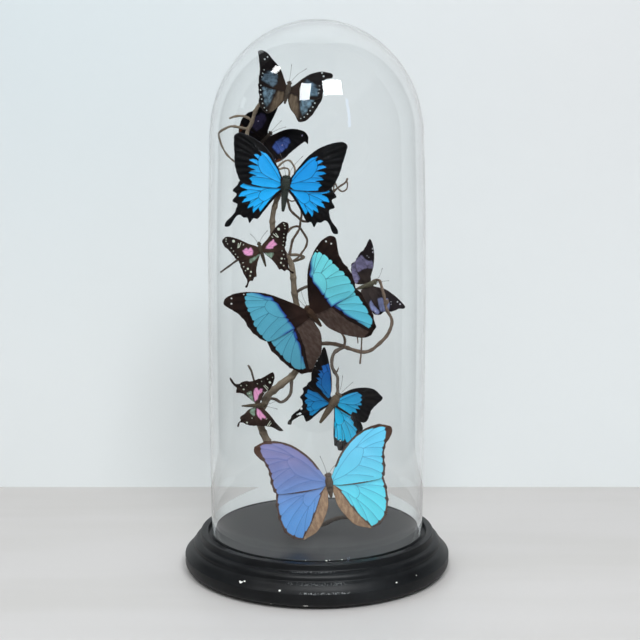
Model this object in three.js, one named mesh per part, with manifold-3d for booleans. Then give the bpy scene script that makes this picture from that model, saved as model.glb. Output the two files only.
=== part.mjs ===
// Nine mounted butterflies on a branching twig, under a glass dome on a turned wooden base.
// Millimetres, +Z up. The origin is the centre of the base's underside.
import * as THREE from 'three';
import { mergeVertices } from 'three/addons/utils/BufferGeometryUtils.js';
import Module from 'manifold-3d';

const wasm = await Module();
wasm.setup();

// ---- driving dimensions ----
const GAP = 0.3;               // clearance left between pieces that touch
const BASE_RADIUS = 124.5;     // the band round the foot of the base
const BAND_HEIGHT = 12.5;
const RING_RADIUS = 109.7;     // raised ring that keeps the dome in place
const RING_WIDTH = 6.9;
const PLATE_RADIUS = 95;       // raised floor inside the dome
const PLATE_TOP = 35;
const GROOVE_FLOOR = 31.5;     // the dome stands in the groove between ring and floor
const DOME_HEIGHT = 505;       // top of the glass
const DOME_FOOT_RADIUS = 99.5;
const DOME_BELLY_RADIUS = 101; // the cylinder is blown slightly barrel shaped
const DOME_SHOULDER_RADIUS = 98;
const DOME_BELLY = 240;
const DOME_SHOULDER = 400;
const GLASS = 3.5;
const WING = 0.7;              // thickness of a wing's solid
const WING_GAP = 0.35;         // a forewing lies this far above its hindwing
const LEGS = [[-0.6, -2.4], [-1.9, -3.8],
[1.6, 2.6]]; // where each pair of legs starts, and how far it leans
const ROUND = 24;              // sides of the turned base and the dome
const BODY_SIDES = 6;
const SHOOT_SIDES = 4;

const radians = THREE.MathUtils.degToRad;

// ---- closed meshes ----
function closed(geometry) {
  geometry.deleteAttribute('normal');
  geometry.deleteAttribute('uv');
  const merged = mergeVertices(geometry, 1e-3);
  const index = Array.from(merged.index.array);
  const p = merged.attributes.position;
  const corner = (i) => new THREE.Vector3().fromBufferAttribute(p, i);
  const faces = [];
  let volume = 0;
  for (let i = 0; i < index.length; i += 3) {
    const [a, b, c] = index.slice(i, i + 3);
    if (a === b || b === c || a === c) continue;
    faces.push([a, b, c]);
    volume += corner(a).dot(corner(b).cross(corner(c)));
  }
  merged.setIndex((volume < 0 ? faces.map(([a, b, c]) => [a, c, b]) : faces).flat());
  return merged;
}

function toSolid(geometry) {
  const merged = closed(geometry);
  return new wasm.Manifold(new wasm.Mesh({
    numProp: 3,
    vertProperties: new Float32Array(merged.attributes.position.array),
    triVerts: new Uint32Array(merged.index.array),
  }));
}

function fromSolid(solid) {
  const mesh = solid.getMesh();
  const geometry = new THREE.BufferGeometry();
  geometry.setAttribute('position', new THREE.BufferAttribute(mesh.vertProperties, 3));
  geometry.setIndex(new THREE.BufferAttribute(mesh.triVerts, 1));
  return geometry;
}

const joined = (solids) => solids.reduce((a, b) => a.add(b));
const largest = (solid) => solid.decompose().sort((a, b) => b.volume() - a.volume())[0];

// A round limb along a smooth route, tapering from its first radius to its last, with closed ends.
// grow makes it larger all over, to cut clearance out of what meets it.
function limb(route, [firstRadius, lastRadius], sides, steps, grow = 0) {
  const curve = new THREE.CatmullRomCurve3(route.map((p) => new THREE.Vector3(...p)), false, 'centripetal');
  const { normals, binormals } = curve.computeFrenetFrames(steps);
  const positions = [];
  const index = [];
  for (let i = 0; i <= steps; i++) {
    const centre = curve.getPointAt(i / steps);
    const beyond = (i === steps ? grow : 0) - (i === 0 ? grow : 0);
    centre.addScaledVector(curve.getTangentAt(i / steps), beyond);
    const radius = THREE.MathUtils.lerp(firstRadius, lastRadius, i / steps) + grow;
    for (let j = 0; j < sides; j++) {
      const turn = (2 * Math.PI * j) / sides;
      const out = normals[i].clone().multiplyScalar(radius * Math.cos(turn));
      out.addScaledVector(binormals[i], radius * Math.sin(turn));
      positions.push(...centre.clone().add(out).toArray());
    }
  }
  for (let i = 0; i < steps; i++) {
    for (let j = 0; j < sides; j++) {
      const a = i * sides + j;
      const b = i * sides + ((j + 1) % sides);
      index.push(a, b, a + sides, b, b + sides, a + sides);
    }
  }
  const last = steps * sides;
  for (let j = 1; j < sides - 1; j++) {
    index.push(0, j + 1, j, last, last + j, last + j + 1);
  }
  const geometry = new THREE.BufferGeometry();
  geometry.setAttribute('position', new THREE.Float32BufferAttribute(positions, 3));
  geometry.setIndex(index);
  return geometry;
}

// ---- materials ----
function finish(color, roughness, extra = {}) {
  return new THREE.MeshStandardMaterial({ color, roughness, metalness: 0, ...extra });
}
const materials = {
  paintedWood: finish(0x23262a, 0.45),
  glass: finish(0xdfeaea, 0.05, { transparent: true, opacity: 0.25 }),
  bark: finish(0x6e6253, 0.85),
  twig: finish(0x5d5048, 0.85),
  hair: finish(0x2c2a22, 0.9),
  azureWing: finish(0x1f86d8, 0.5),
  morphoWing: finish(0x66b5ee, 0.45),
  bandedWing: finish(0x4aa5bd, 0.5),
  violetWing: finish(0x1a1826, 0.55),
  steelWing: finish(0x4d5f6c, 0.6),
  lilacWing: finish(0x4d4860, 0.6),
  pinkWing: finish(0x4a2438, 0.6),
};

const object = new THREE.Group();

function place(name, geometry, material, parent = object) {
  const mesh = new THREE.Mesh(geometry, material);
  mesh.name = name;
  parent.add(mesh);
  return mesh;
}

// ---- base and dome, turned about Z ----
function turned(profile) {
  const geometry = new THREE.LatheGeometry(profile.map(([r, z]) => new THREE.Vector2(r, z)), ROUND);
  geometry.rotateX(Math.PI / 2);
  return closed(geometry);
}

function makeBase() {
  const ringInner = RING_RADIUS - RING_WIDTH;
  place('base', turned([
    [0, 0],
    [BASE_RADIUS - 1.5, 0],
    [BASE_RADIUS, 1.5],
    [BASE_RADIUS, BAND_HEIGHT],
    [BASE_RADIUS - 2.7, BAND_HEIGHT + 1.8],
    [BASE_RADIUS - 3.2, BAND_HEIGHT + 5.5],
    [BASE_RADIUS - 5.2, BAND_HEIGHT + 10],
    [BASE_RADIUS - 8.5, BAND_HEIGHT + 14],
    [RING_RADIUS + 2, BAND_HEIGHT + 16.5],
    [RING_RADIUS + 0.3, BAND_HEIGHT + 18.5],
    [RING_RADIUS, PLATE_TOP - 1.5],
    [RING_RADIUS - 1.4, PLATE_TOP],
    [ringInner + 1.2, PLATE_TOP],
    [ringInner, PLATE_TOP - 1.2],
    [ringInner, GROOVE_FLOOR],
    [PLATE_RADIUS, GROOVE_FLOOR],
    [PLATE_RADIUS, PLATE_TOP - 0.8],
    [PLATE_RADIUS - 0.8, PLATE_TOP],
    [0, PLATE_TOP],
  ]), materials.paintedWood);
}

// Half the section of one face of the glass, from its foot to its top, set in by a wall's thickness.
function domeFace(inset) {
  const foot = GROOVE_FLOOR + GAP;
  const points = [
    [DOME_FOOT_RADIUS - inset, foot],
    [(DOME_FOOT_RADIUS + DOME_BELLY_RADIUS) / 2 + 0.5 - inset, (foot + DOME_BELLY) / 2],
    [DOME_BELLY_RADIUS - inset, DOME_BELLY],
    [(DOME_BELLY_RADIUS + DOME_SHOULDER_RADIUS) / 2 + 0.5 - inset, (DOME_BELLY + DOME_SHOULDER) / 2],
  ];
  const capSteps = 5;
  for (let i = 0; i <= capSteps; i++) {
    const turn = (Math.PI / 2) * (i / capSteps);
    const radius = (DOME_SHOULDER_RADIUS - inset) * Math.cos(turn);
    const height = DOME_SHOULDER + (DOME_HEIGHT - DOME_SHOULDER - inset) * Math.sin(turn);
    points.push([i === capSteps ? 0 : radius, height]);
  }
  return points;
}

function makeDome() {
  place('glass_dome', turned([...domeFace(GLASS).reverse(), ...domeFace(0)]), materials.glass);
}

// ---- the branch ----
// Each limb: its route, the radius at its ends, its sides and steps, and small twigs grown together with it.
const branch = {
  stem_lower: {
    route: [[-15, 0, 28], [-22, 1, 47], [-38, -2, 82], [-46, -8, 117], [-51, -9, 129], [-53, -10, 137],
      [-53, -10, 147],
      [-49, -10, 154], [-45, -9, 163], [-38, -7, 169], [-30, -5, 175], [-22, -2, 181], [-17, 1, 189],
      [-13, 2, 198],
      [-12, 2, 206]],
    radius: [4.2, 3.2], sides: 7, steps: 17,
  },
  stem_middle: {
    route: [[-12, 2, 206], [-13, 0, 218], [-16, -4, 232], [-19, -8, 247], [-21, -9, 261], [-22, -10, 275],
      [-24, -10, 286], [-28, -10, 292]],
    radius: [3.2, 2.7], sides: 7, steps: 8,
    shoots: [{
      route: [[-26, -9, 293], [-18, -6, 293], [-12, -5, 291], [-18, -6, 288], [-24, -9, 287]],
      radius: [1.5, 1.2], steps: 7,
    }],
  },
  stem_upper: {
    route: [[-28, -10, 292], [-34, -10, 298], [-41, -11, 311], [-42, -13, 327], [-38, -16, 343],
      [-33, -16.6, 354],
      [-36, -16, 368], [-48, -13, 384], [-59, -9, 395], [-64, -7, 402], [-59, -7, 414], [-54, -8, 427],
      [-44, -9, 436], [-33, -11, 440], [-27, -12, 442]],
    radius: [2.9, 1.5], sides: 6, steps: 18,
    shoots: [
      { route: [[-36, -15, 372], [-31, -13, 377], [-26, -12, 379], [-23, -12, 377], [-20, -13, 371],
        [-21, -15, 364],
        [-26, -17, 357]], radius: [1, 0.8], steps: 6 },
      { route: [[-36, -15, 370], [-30, -13, 372], [-26, -12, 371], [-25, -14, 366], [-27, -17, 360]],
        radius: [0.9, 0.7], steps: 5 },
      { route: [[-38, -16, 344], [-34, -13, 347], [-28, -13, 345], [-23, -13, 342], [-17, -13, 344]],
        radius: [0.9, 0.6], steps: 4 },
      { route: [[-43, -15, 375], [-47, -5, 370], [-52, 8, 371], [-55, 20, 381], [-52, 27, 393],
        [-48, 27.5, 402]],
        radius: [1.6, 1.2], steps: 7 },
      { route: [[-59, -7, 414], [-62, -7, 417], [-67, -7, 419], [-74, -6, 419], [-80, -6, 417]],
        radius: [1.2, 1], steps: 4 },
      { route: [[-60, -7, 412], [-64, -6, 408], [-70, -6, 409], [-78, -5, 410], [-84, -4, 408],
        [-90, -3, 404],
        [-89, -3, 398], [-87, -3, 392], [-82, -4, 384], [-74, -6, 377], [-65, -9, 372]],
        radius: [1.3, 0.8], steps: 11 },
    ],
  },
  root_twig: {
    route: [[-17, -1, 38], [-5, -5, 38], [4, -8, 38.5], [11, -9, 42], [20, -10, 46], [30, -12, 48],
      [37, -18, 55],
      [33, -28, 68], [23, -39, 80], [11, -43.8, 87]],
    radius: [2.2, 1.5], sides: 6, steps: 14,
  },
  twig_right: {
    route: [[-12, 2, 206], [-4, 1, 208], [6, 0, 210], [15, -2, 210], [24, -4, 208], [33, -6, 205],
      [43, -8, 203],
      [50, -10, 205], [56, -12, 210], [63, -13, 217], [67, -14, 224], [69, -14, 231], [68, -14, 236],
      [65, -14, 241],
      [63, -13, 247], [62, -12, 255], [60, -10, 262], [59, -4, 268], [58, 2, 272], [54, 8.5, 271.5],
      [49, 11.5, 267]],
    radius: [2, 1.3], sides: 5, steps: 20,
    shoots: [
      { route: [[42, -6, 225], [41, -8, 203], [40, -8, 192]], radius: [0.7, 0.9], steps: 3 },
      { route: [[42, -7, 218], [38, -7, 221], [38, -7, 211]], radius: [0.7, 0.6], steps: 4 },
      { route: [[63, -13, 248], [64.5, -13.6, 250], [64, -13, 252]], radius: [1.9, 1.7], steps: 2 },
      { route: [[25, -5, 207], [26, -5, 213], [25, -4, 217], [21, -3, 223]], radius: [1.5, 1], steps: 4 },
    ],
  },
  twig_drop: {
    route: [[25, -4, 207], [20, -6, 205], [16, -7, 202], [14, -8, 197], [14, -9, 190], [16, -10, 185],
      [19, -12, 180],
      [19, -14, 174], [19, -15, 167], [18, -15.4, 158]],
    radius: [1.8, 1.4], sides: 6, steps: 13,
    shoots: [{ route: [[17, -11, 183], [19, -11, 186], [20, -11, 189]], radius: [1, 0.4], steps: 2 }],
  },
  twig_loop: {
    route: [[-24, -3, 179], [-24, -3, 170], [-25, -4, 163], [-29, -6, 158], [-34, -8, 156],
      [-39, -9, 159], [-46, -10, 160]],
    radius: [1.7, 1.3], sides: 6, steps: 10,
  },
  twig_short: {
    route: [[-50, -8, 156], [-55, -7, 167], [-59, -7, 177], [-61, -8, 185], [-64, -9, 191]],
    radius: [1.3, 0.9], sides: 5, steps: 5,
  },
  twig_left: {
    route: [[-28, -10, 291], [-38, -13, 293], [-50, -15.2, 297], [-63, -14, 294], [-72, -12, 289],
      [-82, -10, 282],
      [-89, -8, 277]],
    radius: [1.7, 0.8], sides: 5, steps: 9,
  },
  twig_centre: {
    route: [[-20, -9, 259], [-15, -11, 264], [-8, -13, 266], [-2, -15, 261], [-1, -17, 252],
      [-5, -18.2, 243]],
    radius: [1.5, 1.2], sides: 5, steps: 8,
  },
  tendril_fork: {
    route: [[-26, -9.5, 289], [-24, -10, 299], [-22, -11, 307], [-16, -13, 317], [-15, -14, 323],
      [-14, -14, 330],
      [-15, -14, 339]],
    radius: [1.3, 0.9], sides: 5, steps: 9,
  },
  tendril_cross: {
    route: [[-34, -17.5, 352], [-27, -18, 343], [-24, -16, 334], [-18, -12, 328], [-13, -10, 324],
      [-7, -10, 324],
      [1, -10, 330], [9, -10, 340], [15, -10, 350], [20, -9, 355], [26, -8, 359], [28, -8, 363]],
    radius: [1.3, 0.9], sides: 5, steps: 14,
    shoots: [{ route: [[15, -10, 350], [16, -9, 360], [17, -9, 358], [19, -8, 354], [23, -7, 351],
      [27, -6, 353],
      [28, -6, 358], [27, -6, 361]], radius: [0.8, 0.7], steps: 7 }],
  },
  tendril_loop: {
    route: [[-39, -11, 309], [-33, -13, 310], [-27, -12, 314], [-23, -9, 318], [-17, -8, 319],
      [-13, -9, 314],
      [-9, -10, 307], [-10, -10, 301], [-14, -10, 295], [-17, -10, 291], [-23, -10, 287]],
    radius: [1.2, 1], sides: 5, steps: 13,
  },
};

function limbSolid({ route, radius, sides, steps, shoots = [] }, grow) {
  const grownFrom = (shoot) => toSolid(limb(shoot.route, shoot.radius, SHOOT_SIDES, shoot.steps, grow));
  return joined([toSolid(limb(route, radius, sides, steps, grow)), ...shoots.map(grownFrom)]);
}

function makeBranch() {
  const floor = new THREE.BoxGeometry(2 * BASE_RADIUS, 2 * BASE_RADIUS, PLATE_TOP);
  floor.translate(0, 0, PLATE_TOP / 2 + GAP);
  const taken = [toSolid(floor)];
  for (const [name, shape] of Object.entries(branch)) {
    const solid = taken.reduce((rest, earlier) => rest.subtract(earlier), limbSolid(shape, 0));
    place(name, fromSolid(largest(solid)), name.startsWith('stem') ? materials.bark : materials.twig);
    taken.push(limbSolid(shape, GAP));
  }
}

// ---- the butterflies ----
// Outlines of the right wings as seen from above, from the middle of the thorax, head towards +Y.
const kinds = {
  ulysses: {
    fore: [[3.5, 1], [4, 6], [10, 18], [17, 28], [26, 36], [37, 41.5], [45, 43.3], [49, 42.5],
      [50.5, 40], [50.3, 37],
      [49, 31], [47.5, 24], [46.8, 17], [44.8, 10], [42.5, 5], [39.5, 1.5], [20, 0.5]],
    hind: [[3.5, -1], [22, 2], [40, 1.5], [42, -2], [45.5, -7.5], [42, -10.5], [44.5, -17],
      [40.7, -19.5], [41, -25],
      [44.5, -30], [49.5, -36], [50, -40], [46, -39.3], [42, -31.5], [38.5, -28.3], [35, -30],
      [31.5, -30.5], [29, -34.5],
      [26, -30.5], [22.5, -30.5], [18, -25], [12, -16], [6, -7]],
    head: 9.5, tail: 23, girth: 3, feeler: [9, 20], legs: 3,
  },
  morpho: {
    fore: [[3.5, 1], [4.5, 8], [8, 15.5], [12, 22.5], [17, 29], [23, 35], [30, 40.5], [38, 44.5],
      [47, 46.7], [56, 46],
      [61, 43.5], [63, 40.5], [62, 36.5], [59, 32.5], [55.5, 28.5], [52.7, 20.5], [52, 13], [51.5, 6],
      [48, -1.5], [25, 0]],
    hind: [[3.5, -1], [25, -1], [46, 3], [50, -6], [50.5, -15], [50, -24], [48, -33], [45.5, -38],
      [42, -41.5], [36, -45.5],
      [30, -46], [24.5, -44.5], [19, -42], [15, -38.5], [9, -30], [4.5, -21], [3.5, -12]],
    head: 9, tail: 13.5, girth: 3, feeler: [8, 17], legs: 2,
  },
  banded: {
    fore: [[3.5, 1], [4, 9], [8, 16], [13, 23.5], [18, 30.5], [24, 37.5], [31, 43.5], [39, 48.5],
      [47, 51.5], [54, 52.5],
      [58.5, 51], [60, 47.5], [58.5, 43], [56, 38.5], [54, 33], [53, 26], [53.5, 18.5], [52.5, 11.5],
      [49, 3], [46, 0],
      [24, 0]],
    hind: [[3.5, -1], [24, 2], [45, 3], [48.5, -3], [49, -8], [48, -15], [47.5, -22], [46, -29],
      [43.5, -35], [41, -41],
      [36, -44], [31, -46], [26, -45], [19, -39.5], [13, -33.5], [8, -27], [4, -19], [3.5, -10]],
    head: 8.5, tail: 16, girth: 3, feeler: [6, 17], legs: 2,
  },
  hooked: {
    fore: [[2.5, 1], [2.5, 6], [5, 13], [10, 21], [16, 28], [22, 33], [28, 36.5], [33, 38], [34, 35],
      [35.5, 30.5],
      [31.5, 31], [29.5, 27], [29.5, 20], [29, 12], [27.5, 4], [14, 0.5]],
    hind: [[2.5, -1], [14, 2], [27, 2], [30, -3], [30, -9], [27, -16], [22, -22], [16, -25], [10, -22],
      [5, -14],
      [2.5, -6]],
    head: 7.5, tail: 14, girth: 2.1, feeler: [4, 13], legs: 2,
  },
  scalloped: {
    fore: [[2.7, 1], [2.7, 4], [6, 9.5], [11, 15.5], [17, 20.5], [24, 24], [30, 25.5], [34.5, 25],
      [36, 22.5], [33.5, 18.5],
      [30, 15], [28.7, 10], [28, 3], [15, 0.5]],
    hind: [[2.7, -1], [14, 2], [27, 1.5], [29, -1], [28, -5], [27, -9], [25.5, -13], [23.5, -17.5],
      [20.5, -21.5],
      [17, -25], [13.5, -24], [10, -20], [6, -14.5], [3, -8]],
    head: 7.7, tail: 13, girth: 2.2, feeler: [5, 16], legs: 2,
  },
  pink: {
    fore: [[2.5, 0], [3, 3], [9.5, 8], [15.5, 13], [21.5, 17], [26.5, 18.8], [30, 18], [31.5, 15.5],
      [31, 11.5], [28, 7],
      [25.5, 1.5], [22.5, -4], [10, -1.5]],
    hind: [[2.5, -2], [10, -1], [21.5, -4], [22, -9], [21.5, -14], [21, -18.5], [20, -22], [21, -25.5],
      [23.8, -28.3],
      [22.3, -29.5], [19, -25.5], [17.5, -24.5], [15.5, -25], [13, -22.5], [11, -22.5], [9.5, -17],
      [6.5, -11], [3, -5]],
    head: 6.5, tail: 16.5, girth: 1.9, feeler: [4, 11], legs: 3,
  },
};

// at: middle of the thorax. turn: heading, pitch and roll. The other angles are for the right and left wing:
// raise lifts a pair towards the back, and fore and hind swing one wing towards the head.
const butterflies = {
  top_butterfly: { kind: 'scalloped', wing: 'steelWing', size: 1.03, at: [-26, -18, 441],
    turn: [-13, -6, 5], raise: [9, 22], fore: [-2, -2], hind: [2, -2] },
  hooked_butterfly: { kind: 'hooked', wing: 'violetWing', size: 0.98, at: [-48, 22, 402],
    turn: [-44, 0, 2], raise: [32, 38], fore: [-5, -4], hind: [10, 0] },
  upper_swallowtail: { kind: 'ulysses', wing: 'azureWing', size: 1.01, at: [-28, -25, 355],
    turn: [-6, -9, -3], raise: [9, 0], fore: [-1, 1], hind: [1, -1] },
  upper_pink_swallowtail: { kind: 'pink', wing: 'pinkWing', size: 1, at: [-52, -20, 299],
    turn: [16, 2, -1], raise: [12, 8], fore: [-1, 1], hind: [1, -1] },
  banded_morpho: { kind: 'banded', wing: 'bandedWing', size: 1.03, at: [-5.5, -24, 242],
    turn: [36, 15, -5], raise: [15, 1], fore: [1, 4], hind: [1, -1] },
  lilac_butterfly: { kind: 'scalloped', wing: 'lilacWing', size: 1, at: [48.5, 4, 265],
    turn: [-70, -3, 0], raise: [12, 11], fore: [-1, -14], hind: [9, 12] },
  lower_pink_swallowtail: { kind: 'pink', wing: 'pinkWing', size: 0.96, at: [-53.5, -19.5, 155],
    turn: [-86, 10, 3], raise: [-2, 5], fore: [0, 2], hind: [4, 5] },
  lower_swallowtail: { kind: 'ulysses', wing: 'azureWing', size: 0.84, at: [15.5, -20, 158],
    turn: [-34, -6, 0], raise: [10, 12], fore: [5, -3], hind: [-10, -14] },
  blue_morpho: { kind: 'morpho', wing: 'morphoWing', size: 1, at: [11, -50, 90],
    turn: [8, 2, 1], raise: [3, 8], fore: [1, 1], hind: [0, -2] },
};

function wingGeometry(outline, side, size, height) {
  const shape = new THREE.Shape(outline.map(([x, y]) => new THREE.Vector2(side * size * x, size * y)));
  const geometry = new THREE.ExtrudeGeometry(shape, { depth: WING, bevelEnabled: false });
  geometry.translate(0, 0, height);
  return closed(geometry);
}

// Head, thorax and abdomen in one turned body along Y, with its feelers and its two or three pairs of legs.
function bodyGeometry({ head, tail, girth, feeler: [spread, reach], legs }, size) {
  const profile = [
    [0, head], [0.45 * girth, head - 0.4], [0.62 * girth, head - 1.5], [0.45 * girth, head - 2.7],
    [0.85 * girth, head - 4.1], [girth, 0.2 * head], [0.97 * girth, -0.2 * head],
    [0.68 * girth, -0.5 * head],
    [0.7 * girth, -0.5 * tail], [0.5 * girth, -0.82 * tail], [0, -tail],
  ];
  const lathe = new THREE.LatheGeometry(profile.map(([r, y]) => new THREE.Vector2(r, y)), BODY_SIDES);
  const solids = [toSolid(lathe)];
  for (const side of [-1, 1]) {
    const route = [[0.6 * side, head - 1, 0.8], [0.4 * spread * side, head + 0.5 * reach, 1.8],
      [spread * side, head + reach, 1.2]];
    solids.push(toSolid(limb(route, [0.35, 0.5], 3, 2)));
    for (const [start, lean] of LEGS.slice(0, legs)) {
      const knee = [(girth + 0.8) * side, start + 0.5 * lean, -girth - 0.3];
      const foot = [(girth + 2) * side, start + lean, -girth - 1.6];
      solids.push(toSolid(limb([[0.6 * side, start, -0.6 * girth], knee, foot], [0.45, 0.3], 3, 2)));
    }
  }
  const geometry = fromSolid(joined(solids));
  geometry.scale(size, size, size);
  return geometry;
}

function makeButterfly(name, { kind, wing, size, at, turn: [heading, pitch, roll], raise, fore, hind }) {
  const upright = new THREE.Group();
  upright.position.set(...at);
  upright.rotation.x = Math.PI / 2;
  const insect = new THREE.Group();
  insect.rotation.set(radians(pitch), radians(roll), radians(heading), 'ZXY');
  upright.add(insect);
  object.add(upright);
  place(`${name}_body`, bodyGeometry(kinds[kind], size), materials.hair, insect);
  [['right', 1], ['left', -1]].forEach(([sideName, side], i) => {
    const wings = [['forewing', kinds[kind].fore, fore[i], WING_GAP],
    ['hindwing', kinds[kind].hind, hind[i], -WING]];
    for (const [part, outline, swing, height] of wings) {
      const geometry = wingGeometry(outline, side, size, height);
      const mesh = place(`${name}_${sideName}_${part}`, geometry, materials[wing], insect);
      mesh.rotation.set(0, radians(-side * raise[i]), radians(side * swing), 'YXZ');
    }
  });
}

makeBase();
makeDome();
makeBranch();
for (const [name, pose] of Object.entries(butterflies)) makeButterfly(name, pose);

export default object;
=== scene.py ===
# Mounted butterflies on a twig, under a glass dome on a turned black base.
import bpy
import math
import random
import numpy as np
from mathutils import Matrix, Vector, geometry, noise


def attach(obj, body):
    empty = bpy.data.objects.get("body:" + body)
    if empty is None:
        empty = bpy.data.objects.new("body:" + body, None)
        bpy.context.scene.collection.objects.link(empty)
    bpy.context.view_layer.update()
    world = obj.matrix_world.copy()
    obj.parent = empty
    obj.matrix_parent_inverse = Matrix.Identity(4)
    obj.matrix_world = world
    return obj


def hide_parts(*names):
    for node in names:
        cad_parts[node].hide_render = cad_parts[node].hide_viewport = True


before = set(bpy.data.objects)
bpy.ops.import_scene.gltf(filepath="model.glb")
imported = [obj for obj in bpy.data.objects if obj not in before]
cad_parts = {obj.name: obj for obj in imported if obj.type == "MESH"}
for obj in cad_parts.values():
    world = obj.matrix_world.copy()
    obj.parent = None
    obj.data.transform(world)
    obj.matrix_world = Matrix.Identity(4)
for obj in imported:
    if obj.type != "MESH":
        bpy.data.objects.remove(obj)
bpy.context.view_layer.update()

mm = 0.001


# small tools
def startClean():
    if bpy.context.object and bpy.context.object.mode != "OBJECT":
        bpy.ops.object.mode_set(mode="OBJECT")
    bpy.ops.object.select_all(action="DESELECT")


def pick(*objects):
    startClean()
    for obj in objects:
        obj.select_set(True)
    bpy.context.view_layer.objects.active = objects[0]


def applied(obj, kind, **settings):
    pick(obj)
    bpy.ops.object.modifier_add(type=kind)
    modifier = obj.modifiers[-1]
    for key, value in settings.items():
        setattr(modifier, key, value)
    bpy.ops.object.modifier_apply(modifier=modifier.name)


def roughen(obj, texture, height):
    applied(obj, "DISPLACE", texture=texture, strength=height * mm, mid_level=0.5, texture_coords="LOCAL")


def joinAll(objects):
    pick(*objects)
    if len(objects) > 1:
        bpy.ops.object.join()
    return bpy.context.object


def fillSlots(mesh, materials):
    mesh.materials.clear()
    for material in materials:
        mesh.materials.append(material)


def paintFaces(mesh, index):
    # material index of every face, one number or one for each
    given = np.broadcast_to(np.asarray(index, dtype=np.int32), len(mesh.polygons))
    mesh.polygons.foreach_set("material_index", np.ascontiguousarray(given))


def vertexData(mesh, key):
    values = np.empty(len(mesh.vertices) * 3)
    mesh.vertices.foreach_get(key, values)
    return values.reshape(-1, 3)


def keepPiece(piece, name, materials):
    piece.name = name + "_look"
    piece.data.name = piece.name
    fillSlots(piece.data, materials)
    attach(piece, "root")
    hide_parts(name)


def meshObject(name, vertices, faces):
    mesh = bpy.data.meshes.new(name)
    mesh.from_pydata([tuple(v) for v in vertices], [], [tuple(f) for f in faces])
    mesh.update()
    obj = bpy.data.objects.new(name, mesh)
    bpy.context.collection.objects.link(obj)
    return obj


def storeValues(mesh, name, values):
    layer = mesh.attributes.new(name, "FLOAT", "POINT")
    layer.data.foreach_set("value", np.asarray(values, dtype=np.float32))


# shader tools
def srgb(r, g, b):
    def linear(v):
        v = v / 255
        return v / 12.92 if v <= 0.04045 else ((v + 0.055) / 1.055) ** 2.4
    return (linear(r), linear(g), linear(b), 1)


def feed(socket, value):
    # another socket is linked in, anything else is set as the constant
    if isinstance(value, bpy.types.NodeSocket):
        socket.id_data.links.new(value, socket)
    else:
        socket.default_value = value


class Board:
    # adds shader nodes and wires them in one call
    def __init__(self, tree):
        self.tree = tree

    def add(self, kind, inputs=None, **settings):
        node = self.tree.nodes.new(kind)
        for key, value in settings.items():
            setattr(node, key, value)
        for key, value in (inputs or {}).items():
            feed(node.inputs[key], value)
        return node

    def math(self, operation, a, b=0.0):
        return self.add("ShaderNodeMath", {0: a, 1: b}, operation=operation).outputs[0]

    def plus(self, a, b):
        return self.math("ADD", a, b)

    def minus(self, a, b):
        return self.math("SUBTRACT", a, b)

    def times(self, a, b):
        return self.math("MULTIPLY", a, b)

    def absolute(self, a):
        return self.math("ABSOLUTE", a)

    def above(self, a, limit):
        return self.math("GREATER_THAN", a, limit)

    def larger(self, a, b):
        return self.math("MAXIMUM", a, b)

    def blend(self, factor, a, b):
        return self.add("ShaderNodeMix", {"Factor": factor, 2: a, 3: b}, data_type="FLOAT").outputs[0]

    def mix(self, factor, a, b):
        return self.add("ShaderNodeMix", {"Factor": factor, 6: a, 7: b}, data_type="RGBA").outputs[2]

    def ramp(self, value, low, high, outLow=0.0, outHigh=1.0):
        inputs = {"Value": value, "From Min": low, "From Max": high, "To Min": outLow, "To Max": outHigh}
        return self.add("ShaderNodeMapRange", inputs, interpolation_type="SMOOTHSTEP").outputs[0]

    def noise(self, vector, scale, detail=3.0, roughness=0.5):
        inputs = {"Vector": vector, "Scale": scale, "Detail": detail, "Roughness": roughness}
        return self.add("ShaderNodeTexNoise", inputs).outputs["Fac"]

    def stretch(self, vector, scale):
        return self.add("ShaderNodeMapping", {"Vector": vector, "Scale": scale}).outputs[0]

    def attribute(self, name, output="Fac"):
        return self.add("ShaderNodeAttribute", attribute_name=name).outputs[output]

    def coords(self, kind="Object"):
        return self.add("ShaderNodeTexCoord").outputs[kind]

    def lightPath(self):
        return self.add("ShaderNodeLightPath").outputs

    def split(self, vector):
        return self.add("ShaderNodeSeparateXYZ", {0: vector}).outputs

    def combine(self, x, y):
        return self.add("ShaderNodeCombineXYZ", {"X": x, "Y": y}).outputs[0]

    def length(self, vector):
        return self.add("ShaderNodeVectorMath", {0: vector}, operation="LENGTH").outputs["Value"]

    def bump(self, strength, distance, height):
        inputs = {"Strength": strength, "Distance": distance, "Height": height}
        return self.add("ShaderNodeBump", inputs).outputs[0]

    def group(self, tree, inputs):
        return self.add("ShaderNodeGroup", inputs, node_tree=tree).outputs


def newGroup(name, inputs, outputs):
    tree = bpy.data.node_groups.new(name, "ShaderNodeTree")
    for label, kind, value in inputs:
        socket = tree.interface.new_socket(label, in_out="INPUT", socket_type=kind)
        if value is not None:
            socket.default_value = value
    for label, kind in outputs:
        tree.interface.new_socket(label, in_out="OUTPUT", socket_type=kind)
    board = Board(tree)
    return tree, board, board.add("NodeGroupInput").outputs, board.add("NodeGroupOutput").inputs


def toOutput(material, shader):
    material.node_tree.links.new(shader, material.node_tree.nodes["Material Output"].inputs[0])


def newMaterial(name):
    material = bpy.data.materials.new(name)
    material.use_nodes = True
    board = Board(material.node_tree)
    shader = material.node_tree.nodes["Principled BSDF"]
    return material, board, shader


def setSockets(shader, **values):
    for key, value in values.items():
        feed(shader.inputs[key.replace("_", " ")], value)


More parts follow.
